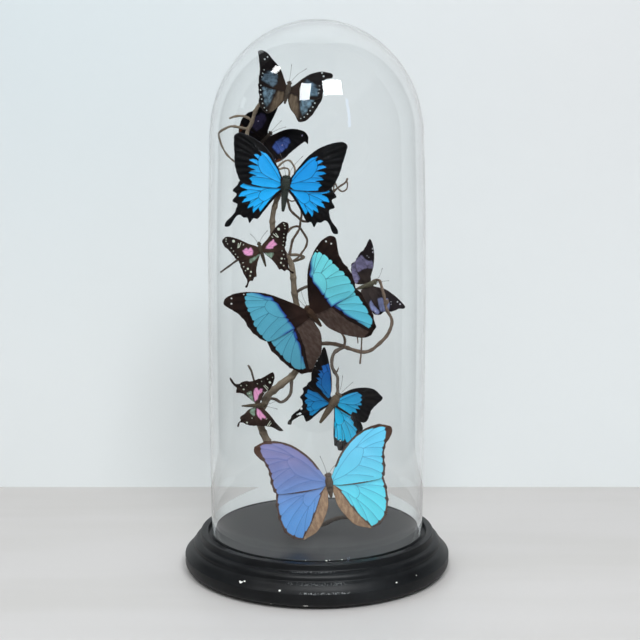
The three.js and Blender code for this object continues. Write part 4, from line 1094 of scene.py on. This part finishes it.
# finish of each look, with a colour of its own for the left wings where a name ends in Left: painted sheen, the
# shimmer of the scales falling differently on each side. Vein marks, teeth, mottle and wear are shares; soft is the
# width of a border in mm, and grow moves it outwards
wingLooks = {
    "azure": {"ground": srgb(7, 7, 9), "brown": srgb(32, 24, 21), "patch": srgb(8, 148, 228),
              "patchLow": srgb(10, 156, 228), "patchLeft": srgb(8, 156, 230), "patchLowLeft": srgb(10, 166, 234),
              "vein": srgb(8, 20, 44), "spot": srgb(190, 205, 216), "second": srgb(120, 110, 90),
              "fringe": srgb(58, 60, 66), "veinMark": 0.85, "tooth": 0.5, "metal": 0.05},
    "azureWorn": {"ground": srgb(19, 17, 18), "brown": srgb(56, 46, 40), "patch": srgb(50, 152, 206),
                  "patchLow": srgb(30, 184, 228), "patchLeft": srgb(26, 94, 172), "patchLowLeft": srgb(28, 144, 202),
                  "vein": srgb(12, 30, 60), "spot": srgb(200, 204, 200), "second": srgb(120, 110, 90),
                  "fringe": srgb(70, 68, 68), "veinMark": 0.85, "tooth": 0.5, "metal": 0.05,
                  "mottle": 0.35},
    "morpho": {"ground": srgb(76, 54, 46), "brown": srgb(122, 92, 76), "patch": srgb(118, 220, 255),
               "patchLow": srgb(108, 236, 255), "patchLeft": srgb(146, 140, 186), "patchLowLeft": srgb(104, 168, 238),
               "vein": srgb(44, 92, 160), "spot": srgb(230, 230, 225), "second": srgb(184, 152, 122),
               "fringe": srgb(62, 44, 38), "veinMark": 0.55, "tooth": 0.9, "grow": -1.0,
               "mottle": 0.15, "mottleLeft": 0.4},
    "banded": {"ground": srgb(33, 23, 21), "brown": srgb(62, 44, 38), "patch": srgb(132, 246, 255),
               "patchLow": srgb(104, 212, 238), "patchLeft": srgb(98, 188, 214), "patchLowLeft": srgb(90, 170, 196),
               "vein": srgb(26, 70, 104), "spot": srgb(230, 232, 230), "second": srgb(90, 76, 70),
               "fringe": srgb(62, 50, 44), "veinMark": 0.65, "tooth": 1.0, "rim": srgb(40, 70, 160),
               "mottle": 0.2},
    "violet": {"ground": srgb(13, 12, 16), "brown": srgb(36, 28, 27), "patch": srgb(76, 106, 186),
               "patchLow": srgb(62, 88, 168), "patchLeft": srgb(52, 44, 78), "patchLowLeft": srgb(44, 38, 68),
               "vein": srgb(30, 30, 66), "spot": srgb(170, 160, 200), "second": srgb(96, 56, 34),
               "fringe": srgb(56, 44, 38), "veinMark": 0.6, "tooth": 0.5, "soft": 2.6, "worn": 0.35},
    "steel": {"ground": srgb(22, 19, 20), "brown": srgb(58, 45, 38), "patch": srgb(92, 128, 156),
              "patchLow": srgb(122, 152, 168), "patchLeft": srgb(82, 108, 128), "patchLowLeft": srgb(120, 148, 164),
              "vein": srgb(38, 38, 48), "spot": srgb(190, 198, 198), "second": srgb(108, 94, 78),
              "fringe": srgb(60, 56, 54), "veinMark": 0.6, "tooth": 0.9, "soft": 2.6, "mottle": 0.5,
              "growSecond": -2.0, "worn": 0.7},
    "lilac": {"ground": srgb(32, 26, 29), "brown": srgb(72, 62, 58), "patch": srgb(136, 146, 192),
              "patchLow": srgb(136, 146, 194), "patchLeft": srgb(136, 130, 168), "patchLowLeft": srgb(144, 138, 176),
              "vein": srgb(46, 40, 50), "spot": srgb(190, 188, 198), "second": srgb(110, 104, 90),
              "fringe": srgb(62, 54, 52), "veinMark": 0.5, "tooth": 0.5, "soft": 1.8, "grow": 1.4,
              "mottle": 0.35, "worn": 0.45},
    "pink": {"ground": srgb(34, 25, 23), "brown": srgb(84, 64, 54), "patch": srgb(246, 166, 214),
             "patchLow": srgb(248, 170, 216), "patchLeft": srgb(246, 166, 214), "patchLowLeft": srgb(248, 170, 216),
             "vein": srgb(80, 40, 66), "spot": srgb(206, 212, 196), "second": srgb(150, 180, 160),
             "fringe": srgb(60, 48, 44), "veinMark": 0.3, "tooth": 0.2, "soft": 1.4, "growSecond": 0.9},
}

wingPlan = {
    "thickness": 0.30, "rim": 0.14, "grid": 0.62, "outlineStep": 0.75, "foreLevel": 0.70, "hindLevel": -0.35,
    "flute": 0.12, "bar": 0.34, "eyeSpot": 1.9,
    "far": 1e3, "noPatch": -30.0, "noSpot": -5.0,   # distances in mm that stand for nothing near
    "rows": 260.0, "underRows": 240.0,
    "uvSpan": 100,   # mm of wing in one unit of its texture
}
underPlan = {
    "marble": srgb(112, 92, 72), "band": srgb(168, 152, 126), "vein": srgb(62, 48, 38),
    # eye spots: pale ring, dark disc, white pupil
    "eyeSpot": ((-0.2, 0.1, srgb(186, 160, 104)), (0.35, 0.6, srgb(26, 20, 18)), (1.25, 1.4, srgb(222, 222, 214))),
}


def patchColourAndSheen(b, tone, end, read, uv, scales):
    # colour of the patch from its low end upwards, mottled, with fine rows and the veins on it; its own colours for the
    # left wings are painted sheen
    across, along = b.split(uv)[:2]
    shade = b.mix(b.ramp(along, -0.30, 0.34), tone["patchLow" + end], tone["patch" + end])
    mottle = tone.get("mottle" + end, tone.get("mottle", 0.2))
    shade = b.mix(b.times(b.ramp(scales["Tint"], 0.60, 0.38), mottle), shade, tone["vein"])
    # painted sheen: the raised scale rows are paled towards white
    shade = b.mix(b.times(b.ramp(scales["Height"], 0.52, 0.75), 0.05), shade, srgb(255, 255, 255))
    if "rim" in tone:
        # only the inner border of the patch
        inner = b.times(b.ramp(read["patch"], 3.0, 0.0), b.ramp(across, 0.38, 0.26))
        shade = b.mix(inner, shade, tone["rim"])
    return b.mix(b.times(b.ramp(read["vein"], 0.45, 0.12), tone["veinMark"]), shade, tone["vein"])


def wingMaterial(name, look, left):
    tone = wingLooks[look]
    material, b, shader = newMaterial(name)
    uv = b.add("ShaderNodeUVMap").outputs[0]
    scales = b.group(wingScales, {"Vector": uv, "Rows": wingPlan["rows"]})
    read = {key: b.attribute(key) for key in ("edge", "patch", "second", "vein", "spot", "reach")}

    # the ground colour runs into the patch along the veins
    read["second"] = b.plus(read["second"], tone.get("growSecond", 0.0))
    read["patch"] = b.plus(read["patch"], tone.get("grow", 0.0))
    read["patch"] = b.minus(read["patch"], b.ramp(read["vein"], 1.7, 0.1, 0.0, tone["tooth"]))

    def frayed(key, width, fray, scale=60.0):
        inputs = {"Distance": read[key], "Width": width, "Fray": fray, "Vector": uv, "Scale": scale}
        return b.group(frayedEdge, inputs)["Mask"]

    # ground, browner in streaks between the veins and near the body
    streak = b.times(b.ramp(read["vein"], 0.3, 2.2), b.ramp(scales["Tint"], 0.42, 0.66))
    colour = b.mix(b.times(streak, 0.55), tone["ground"], tone["brown"])
    colour = b.mix(b.times(b.ramp(read["reach"], 26.0, 6.0), 0.5), colour, tone["brown"])
    fuzz = b.noise(b.stretch(uv, (1.0, 0.4, 1.0)), 34.0, 4.0, 0.6)
    fuzzy = b.mix(b.ramp(fuzz, 0.66, 0.40, 0.0, 0.6), tone["second"], tone["brown"])
    colour = b.mix(frayed("second", tone.get("soft", 0.9), 0.6), colour, fuzzy)
    patchMask = frayed("patch", tone.get("soft", 0.7), 0.5)
    if "worn" in tone:
        # scales rubbed off in blotches
        blotches = b.ramp(b.noise(uv, 15.0, 5.0, 0.7), 0.62, 0.44, 1 - tone["worn"], 1.0)
        patchMask = b.times(patchMask, blotches)
    # painted sheen: the left wings take their own patch colours, for the shimmer that falls differently on each side
    colour = b.mix(patchMask, colour, patchColourAndSheen(b, tone, "Left" if left else "", read, uv, scales))
    colour = b.mix(frayed("spot", 0.3, 0.14, 120.0), colour, tone["spot"])
    colour = b.mix(b.times(b.ramp(read["edge"], 0.55, 0.12), 0.7), colour, tone["fringe"])
    height = b.plus(b.times(b.ramp(read["vein"], 0.5, 0.0), 0.7), b.times(scales["Height"], 0.3))
    setSockets(shader, Base_Color=colour, Roughness=b.ramp(scales["Tint"], 0.35, 0.65, 0.42, 0.58),
               Metallic=b.times(patchMask, tone.get("metal", 0.0)), Normal=b.bump(0.5, 0.12 * mm, height),
               Specular_IOR_Level=b.ramp(patchMask, 0.0, 1.0, 0.04, 0.14))
    return material


def underMaterial(name, look):
    tone = wingLooks[look]
    material, b, shader = newMaterial(name)
    uv = b.add("ShaderNodeUVMap").outputs[0]
    scales = b.group(wingScales, {"Vector": uv, "Rows": wingPlan["underRows"]})
    edge, vein, patch, ring = [b.attribute(key) for key in ("edge", "vein", "patch", "ocelli")]
    marble = b.noise(b.stretch(uv, (1.0, 1.6, 1.0)), 14.0, 4.0, 0.65)
    colour = b.mix(b.ramp(marble, 0.38, 0.66), tone["ground"], underPlan["marble"])
    colour = b.mix(b.times(b.ramp(scales["Tint"], 0.4, 0.65), 0.5), colour, tone["brown"])
    band = b.times(b.ramp(b.absolute(b.minus(edge, 3.0)), 0.7, 0.3), 0.6)
    colour = b.mix(band, colour, underPlan["band"])
    colour = b.mix(b.times(b.ramp(patch, -0.4, 1.2), 0.35), colour, tone["second"])
    for low, high, tint in underPlan["eyeSpot"]:
        colour = b.mix(b.ramp(ring, low, high), colour, tint)
    colour = b.mix(b.times(b.ramp(vein, 0.4, 0.12), 0.6), colour, underPlan["vein"])
    height = b.plus(b.ramp(vein, 0.5, 0.0), b.times(scales["Height"], 0.3))
    bump = b.bump(0.5, 0.12 * mm, height)
    setSockets(shader, Base_Color=colour, Roughness=0.7, Specular_IOR_Level=0.2, Normal=bump)
    return material


def closedLine(loop):
    loop = np.asarray(loop, dtype=float)
    return np.vstack([loop, loop[:1]])


def toSegments(points, lines):
    # distance of every point to the nearest of the line pieces
    best = np.full(len(points), wingPlan["far"])
    for line in lines:
        line = np.asarray(line, dtype=float)
        for a, c in zip(line, line[1:]):
            run = c - a
            t = np.clip(((points - a) @ run) / max(run @ run, 1e-9), 0, 1)
            gap = np.hypot(*(points - a - t[:, None] * run).T)
            best = np.minimum(best, gap)
    return best


def insideLoop(points, loop):
    inside = np.zeros(len(points), dtype=bool)
    loop = np.asarray(loop, dtype=float)
    for (x1, y1), (x2, y2) in zip(loop, np.roll(loop, -1, axis=0)):
        if y1 == y2:
            continue
        crosses = (y1 > points[:, 1]) != (y2 > points[:, 1])
        inside ^= crosses & (points[:, 0] < (x2 - x1) * (points[:, 1] - y1) / (y2 - y1) + x1)
    return inside


def signedToLoop(points, loop):
    # distance to the loop, above zero inside it
    if loop is None:
        return np.full(len(points), wingPlan["noPatch"])
    return np.where(insideLoop(points, loop), 1, -1) * toSegments(points, [closedLine(loop)])


def veinLines(shape, part):
    cell = shape[part + "Cell"]
    lines = [smoothRoute(cell, step=2.0)]
    for start, end in shape[part + "Ends"]:
        a, c = np.array(cell[start], dtype=float), np.array(end, dtype=float)
        middle = (a + c) / 2 + np.array([-(c - a)[1], (c - a)[0]]) * 0.04
        lines.append(smoothRoute([a, middle, c], step=2.5))
    return lines


def raggedOutline(points, veins, scallop, seed, step):
    # the margin stands out where a vein meets it and falls back between, with small nicks
    loop = smoothRoute(points, closed=True, step=step)
    centre = loop.mean(axis=0)
    reach = np.clip((loop[:, 0] - 0.45 * loop[:, 0].max()) / 8, 0, 1)
    lobes = scallop * reach * (np.exp(-(toSegments(loop, veins) / 1.7) ** 2) - 0.35)
    out = []
    for (x, y), lobe in zip(loop, lobes):
        push = lobe + 0.20 * noise.noise((x * 1.3, y * 1.3, seed * 2.3)) + 0.14 * noise.noise((x * 3.7, y * 3.7, seed))
        away = np.array([x, y]) - centre
        out.append(np.array([x, y]) + away / max(np.linalg.norm(away), 1e-6) * push)
    return np.array(out)


def wingSheet(outline, holes, grid):
    # triangles that fill the outline, with an even field of inner points
    low, high = outline.min(axis=0), outline.max(axis=0)
    xs, ys = np.arange(low[0], high[0], grid), np.arange(low[1], high[1], grid * 0.87)
    field = np.array([(x + (grid / 2 if j % 2 else 0), y) for j, y in enumerate(ys) for x in xs])
    keep = insideLoop(field, outline) & (toSegments(field, [closedLine(outline)]) > grid * 0.55)
    for hole in holes:
        keep &= ~insideLoop(field, hole) & (toSegments(field, [closedLine(hole)]) > grid * 0.4)
    points = [tuple(p) for p in outline] + [tuple(p) for p in field[keep]]
    edges = []
    for hole in holes:
        first = len(points)
        points += [tuple(p) for p in hole]
        edges += [(first + i, first + (i + 1) % len(hole)) for i in range(len(hole))]
    loop = list(range(len(outline)))
    corners, _, faces, *_ = geometry.delaunay_2d_cdt([Vector(p) for p in points], edges, [loop], 1, 1e-5)
    corners = np.array([tuple(c) for c in corners])
    faces = np.array([tuple(f) for f in faces])
    if holes:
        centres = corners[faces].mean(axis=1)
        gone = np.zeros(len(faces), dtype=bool)
        for hole in holes:
            gone |= insideLoop(centres, hole)
        faces = faces[~gone]
    a, c, d = corners[faces[:, 0]], corners[faces[:, 1]], corners[faces[:, 2]]
    up = (c[:, 0] - a[:, 0]) * (d[:, 1] - a[:, 1]) - (c[:, 1] - a[:, 1]) * (d[:, 0] - a[:, 0])
    faces[up < 0] = faces[up < 0][:, ::-1]
    return corners, faces


def camber(points, kindSeed):
    # one gentle surface for both wings of a side, so that they never cross
    x, y = points[:, 0], points[:, 1]
    rise = 0.9 * np.sin(np.clip(x / 50, 0, 1.2) * math.pi * 0.8) - 0.0009 * np.clip(y - 10, 0, None) ** 2
    ripple = np.array([noise.noise((px * 0.05, py * 0.05, kindSeed)) for px, py in points])
    return rise + 0.45 * ripple * np.clip(x / 20, 0, 1)


def pose(plan, side, swing):
    # where a wing of that side stands, or the body for side 0
    raised = plan["raise"][0] if side > 0 else plan["raise"][1]
    heading, pitch, roll = [math.radians(a) for a in plan["turn"]]
    body = Matrix.Translation(plan["at"]) @ Matrix.Rotation(math.pi / 2, 4, "X") @ Matrix.Rotation(heading, 4, "Z")
    body = body @ Matrix.Rotation(pitch, 4, "X") @ Matrix.Rotation(roll, 4, "Y")
    if side == 0:
        return np.array(body)
    lift = Matrix.Rotation(math.radians(-side * raised), 4, "Y")
    return np.array(body @ lift @ Matrix.Rotation(math.radians(side * swing), 4, "Z"))


def placed(points, matrix):
    return (points @ matrix[:3, :3].T + matrix[:3, 3]) * mm


def marking(plan, key, part, side):
    # a left wing without a marking of its own takes the one of the right wing
    given = plan.get(key, {})
    return given.get(part + ("Left" if side < 0 else ""), given.get(part))


def wingValues(plan, part, side, corners, loops, veins):
    # what the shaders read at every corner: distances in mm to the edge, the veins and the markings
    values = {
        "edge": toSegments(corners, [closedLine(loop) for loop in loops]),
        "patch": signedToLoop(corners, marking(plan, "patch", part, side)),
        "second": signedToLoop(corners, marking(plan, "second", part, side)),
        "vein": toSegments(corners, veins),
        "spot": np.full(len(corners), wingPlan["noSpot"]),
        "ocelli": np.full(len(corners), wingPlan["noSpot"]),
        "reach": np.hypot(corners[:, 0], corners[:, 1]),
    }

    def addSpot(key, depth):
        values[key] = np.maximum(values[key], depth)

    for x, y, radius in marking(plan, "spots", part, side) or []:
        addSpot("spot", radius - np.hypot(corners[:, 0] - x, corners[:, 1] - y))
    if part == "fore":
        for bar in plan.get("bars", []):
            addSpot("spot", wingPlan["bar"] - toSegments(corners, [bar]))
    # the eye spots of the underside lie inwards of every second vein end
    inwards = 0.80 if plan["kind"] in ("morpho", "banded") else 0.86
    for _, tip in wingShapes[plan["kind"]][part + "Ends"][1:6:2]:
        addSpot("ocelli", wingPlan["eyeSpot"] - np.hypot(*(corners - np.array(tip) * inwards).T))
    return values


def borderEdges(faces):
    # an edge met from one face only lies on the border
    borders = {}
    for a, c, d in faces:
        for start, stop in ((a, c), (c, d), (d, a)):
            if (stop, start) in borders:
                del borders[(stop, start)]
            else:
                borders[(start, stop)] = True
    return list(borders)


def buildWing(name, plan, part, side, seed, materials):
    shape = wingShapes[plan["kind"]]
    veins = veinLines(shape, part)
    ownOutline = marking(plan, "outline", part, side) or shape[part]
    outline = raggedOutline(ownOutline, veins, shape["scallop"], seed, wingPlan["outlineStep"])
    holes = marking(plan, "holes", part, side) or []
    corners, faces = wingSheet(outline, holes, wingPlan["grid"])
    values = wingValues(plan, part, side, corners, [outline] + holes, veins)

    # two sheets, thinner at the edge, and the rim that joins them
    flute = wingPlan["flute"] * np.cos(np.clip(values["vein"], 0, 3) / 3 * math.pi)
    middle = wingPlan[part + "Level"] + camber(corners, len(plan["kind"])) + flute
    half = np.where(values["edge"] < 1e-4, wingPlan["rim"], wingPlan["thickness"]) / 2
    scaled = corners * plan["size"] * np.array([1 if side > 0 else -1, 1])
    sheets = np.vstack([np.column_stack([scaled, middle + half]), np.column_stack([scaled, middle - half])])
    count = len(corners)
    rim = [(stop, start, start + count, stop + count) for start, stop in borderEdges(faces)]
    polygons = [tuple(f) for f in faces] + [tuple(f[::-1] + count) for f in faces] + rim
    if side < 0:
        polygons = [p[::-1] for p in polygons]
    swing = plan[part][0] if side > 0 else plan[part][1]
    wing = meshObject(name, placed(sheets, pose(plan, side, swing)), polygons)
    mesh = wing.data
    for key, value in values.items():
        storeValues(mesh, key, np.concatenate([value, value]))
    flat = np.vstack([corners, corners]) / wingPlan["uvSpan"]
    loops = np.empty(len(mesh.loops), dtype=int)
    mesh.loops.foreach_get("vertex_index", loops)
    mesh.uv_layers.new(name="UVMap").data.foreach_set("uv", flat[loops].astype(np.float32).ravel())
    pick(wing)
    bpy.ops.object.shade_smooth_by_angle(angle=math.radians(40))
    full = name + ("_right_" if side > 0 else "_left_") + part + "wing"
    keepPiece(wing, full, materials)
    # scales of the upper side on the first sheet, the underside on the second and on the rim
    paintFaces(mesh, [0] * len(faces) + [1] * (len(faces) + len(rim)))
    mesh.update()


bodyPlan = {
    # radius of head and thorax along the spine: share of the head's length, offset in mm, share of the girth
    "front": [(1, 0, 0.25), (1, -0.5, 0.60), (1, -1.6, 0.70), (1, -2.6, 0.55), (1, -3.4, 0.72), (0.4, 0, 0.95),
              (0.1, 0, 1.0), (-0.25, 0, 0.92), (-0.52, 0, 0.66)],
    "rings": 9, "eye": 0.36, "palp": 0.16,
    "voxel": 0.24, "fuzz": 0.9, "fuzzHeight": 0.22,
    "feeler": 0.15, "club": 0.17, "leg": (0.32, 0.16), "tongue": 0.12,
    "legs": ((-0.6, -2.4), (-1.9, -3.8), (1.6, 2.6)),   # where each leg starts along the spine, and how far it leans
    "hairs": 520, "hairRadius": 0.055,
    "horn": srgb(30, 24, 22), "hornPale": srgb(66, 50, 40), "belt": srgb(24, 20, 18),
}


def hairs(roots, directions, lengths, radius):
    # one mesh of thin closed spikes
    rng = np.random.default_rng(11)
    vertices, faces = [], []
    for root, way, length in zip(roots, directions, lengths):
        way = way / max(np.linalg.norm(way), 1e-6)
        sideways = np.cross(way, rng.normal(size=3))
        sideways /= max(np.linalg.norm(sideways), 1e-6)
        other = np.cross(way, sideways)
        first = len(vertices)
        for k in range(3):
            turn = 2 * math.pi * k / 3
            vertices.append(root + (sideways * math.cos(turn) + other * math.sin(turn)) * radius)
        vertices.append(root + way * length)
        faces += [(first, first + 1, first + 3), (first + 1, first + 2, first + 3), (first + 2, first, first + 3),
                  (first, first + 2, first + 1)]
    return np.array(vertices), faces


def spineRun(head, tail):
    # head, thorax and abdomen as one tapering run: place along the spine, share of the girth
    run = [(share * head + offset, thick) for share, offset, thick in bodyPlan["front"]]
    rings, abdomen = bodyPlan["rings"], tail - 0.55 * head
    for i in range(rings):
        t = (i + 0.5) / rings
        y = -0.55 * head - abdomen * t
        thick = 0.74 * (1 - 0.62 * t ** 1.6)
        run += [(y + 0.28 * abdomen / rings, thick), (y - 0.30 * abdomen / rings, thick * 0.93)]
    return run + [(-tail, 0.12)]


def trunkWithHead(name, shape, line):
    # spine, eyes and palps melted into one fuzzy skin
    p = bodyPlan
    girth, head = shape["girth"], shape["head"]
    spine = spineRun(head, shape["tail"])
    parts = [tube(name, line([(0, y, 0.1 * math.sin(y)) for y, _ in spine]), [r * girth for _, r in spine], 16)]
    for side in (-1, 1):
        startClean()
        place = line([(side * 0.50 * girth, head - 1.4, 0.12 * girth)])[0] * mm
        size = p["eye"] * girth * mm
        bpy.ops.mesh.primitive_uv_sphere_add(segments=16, ring_count=10, radius=size, location=tuple(place))
        bpy.ops.object.transform_apply(location=True, rotation=True, scale=True)
        parts.append(bpy.context.object)
        palp = smoothRoute([(side * 0.2 * girth, head - 0.6, 0.0), (side * 0.24 * girth, head + 0.5, 0.3)], step=0.4)
        parts.append(tube(name, line(palp), [p["palp"] * girth] * len(palp), 8))
    trunk = joinAll(parts)
    trunk.data.remesh_voxel_size = p["voxel"] * mm
    bpy.ops.object.voxel_remesh()
    fuzz = bpy.data.textures.new(name + "Fuzz", "CLOUDS")
    fuzz.noise_scale = p["fuzz"] * mm
    roughen(trunk, fuzz, p["fuzzHeight"])
    applied(trunk, "SMOOTH", factor=0.5, iterations=1)
    pick(trunk)
    bpy.ops.object.shade_smooth()
    return trunk


def thinParts(name, plan, shape, line):
    # feelers with clubbed ends, the folded legs and a coiled tongue
    p = bodyPlan
    girth, head = shape["girth"], shape["head"]
    spread, reach = shape["feeler"]
    thin = []
    for side in (-1, 1):
        tipX, tipY = plan.get("feelers", {}).get(side, (spread * side, head + reach))
        bend = (0.42 * tipX + 0.3 * side, 0.5 * (head + tipY), 1.8)
        feeler = smoothRoute([(0.6 * side, head - 1, 0.8), bend, (tipX, tipY, 1.2)], step=0.7)
        t = np.linspace(0, 1, len(feeler))
        club = p["feeler"] + p["club"] * np.exp(-((t - 0.96) / 0.05) ** 2)
        thin.append(tube(name, line(feeler), club, 6))
        for start, lean in p["legs"][:shape["legs"]]:
            knee = ((girth + 0.8) * side, start + 0.5 * lean, -girth - 0.3)
            foot = ((girth + 2) * side, start + lean, -girth - 1.6)
            leg = smoothRoute([(0.6 * side, start, -0.6 * girth), knee, foot], step=0.7)
            thin.append(tube(name, line(leg), np.linspace(*p["leg"], len(leg)), 6))
    curl = [(0.05, head + 0.1 + 0.9 * math.sin(a) * (1 - a / 16), -0.5 - 0.9 * math.cos(a) * (1 - a / 16))
            for a in np.linspace(0, 11, 40)]
    thin.append(tube(name, line(curl), [p["tongue"]] * len(curl), 6))
    return thin


def hairCoat(name, trunk, matrix, shape, seed):
    # hair stands on the thorax, combed back over the wing roots and the abdomen
    count, head = bodyPlan["hairs"], shape["head"]
    rng = np.random.default_rng(seed)
    places, normals = vertexData(trunk.data, "co") / mm, vertexData(trunk.data, "normal")
    along = ((places - matrix[:3, 3]) @ matrix[:3, :3])[:, 1]
    weight = np.exp(-((along + 0.1 * head) / (0.75 * head)) ** 2) + 0.16
    chosen = rng.choice(len(places), size=count, p=weight / weight.sum())
    ways = normals[chosen] - matrix[:3, 1] * rng.uniform(0.5, 1.5, size=(count, 1))
    ways += rng.normal(scale=0.25, size=(count, 3))
    lengths = rng.uniform(0.8, 2.2, size=count) * np.clip(weight[chosen], 0.3, 1) * shape["girth"] / 2.6
    roots = places[chosen] - normals[chosen] * 0.1
    vertices, faces = hairs(roots, ways, lengths, bodyPlan["hairRadius"])
    return meshObject(name + "Hair", vertices * mm, faces)


def buildBody(name, plan, seed, materials):
    shape = wingShapes[plan["kind"]]
    matrix = pose(plan, 0, 0)

    def line(points):
        return placed(np.array(points, dtype=float), matrix) / mm

    trunk = trunkWithHead(name, shape, line)
    thin = thinParts(name, plan, shape, line)
    coat = hairCoat(name, trunk, matrix, shape, seed)
    for index, pieces in enumerate(([trunk], thin, [coat])):
        for piece in pieces:
            fillSlots(piece.data, materials)
            paintFaces(piece.data, index)
    whole = joinAll([trunk] + thin + [coat])
    # how far along the spine, for the belts of the abdomen
    local = (vertexData(whole.data, "co") / mm - matrix[:3, 3]) @ matrix[:3, :3]
    storeValues(whole.data, "spine", local[:, 1])
    indices = np.empty(len(whole.data.polygons), dtype=np.int32)
    whole.data.polygons.foreach_get("material_index", indices)
    keepPiece(whole, name + "_body", materials)
    paintFaces(whole.data, indices)


def bodyMaterials(name, tones):
    # for the body itself, for feelers, legs and tongue, and for the hair
    made = []
    for part in ("Coat", "Horn", "Hair"):
        material, b, shader = newMaterial(name + part)
        coords = b.coords()
        speck = b.noise(coords, 2200.0, 3.0, 0.6)
        if part == "Horn":
            colour = b.mix(b.ramp(speck, 0.35, 0.7), bodyPlan["horn"], bodyPlan["hornPale"])
            setSockets(shader, Base_Color=colour, Roughness=0.45, Specular_IOR_Level=0.4)
        else:
            # darker belts between the rings of the abdomen
            spine = b.attribute("spine")
            belts = b.math("SINE", b.times(spine, 4.2))
            colour = b.mix(b.ramp(speck, 0.35, 0.68), tones["coat"], tones["under"])
            darker = b.times(b.ramp(belts, 0.4, 1.0), b.ramp(spine, -4.0, -6.0))
            colour = b.mix(b.times(darker, 0.6), colour, bodyPlan["belt"])
            bump = b.bump(0.8, 0.15 * mm, speck)
            setSockets(shader, Base_Color=colour, Roughness=0.8, Specular_IOR_Level=0.15, Normal=bump,
                       Sheen_Weight=0.08, Sheen_Roughness=0.4)
        made.append(material)
    return made


def buildButterflies():
    finishes, seed = {}, 10
    for name, plan in butterflies.items():
        look = plan["look"]
        if look not in finishes:
            # right and left copies of the scales differ in colour: painted sheen
            finishes[look] = {1: wingMaterial(look + "ScalesAndSheenRight", look, False),
                              -1: wingMaterial(look + "ScalesLeft", look, True),
                              0: underMaterial(look + "Underside", look)}
        finish = finishes[look]
        for part in ("fore", "hind"):
            for side in (1, -1):
                seed += 1
                buildWing(name, plan, part, side, seed, [finish[side], finish[0]])
        buildBody(name, plan, seed, bodyMaterials(name + "Body", plan["body"]))
        print("butterfly ready:", name)


buildButterflies()
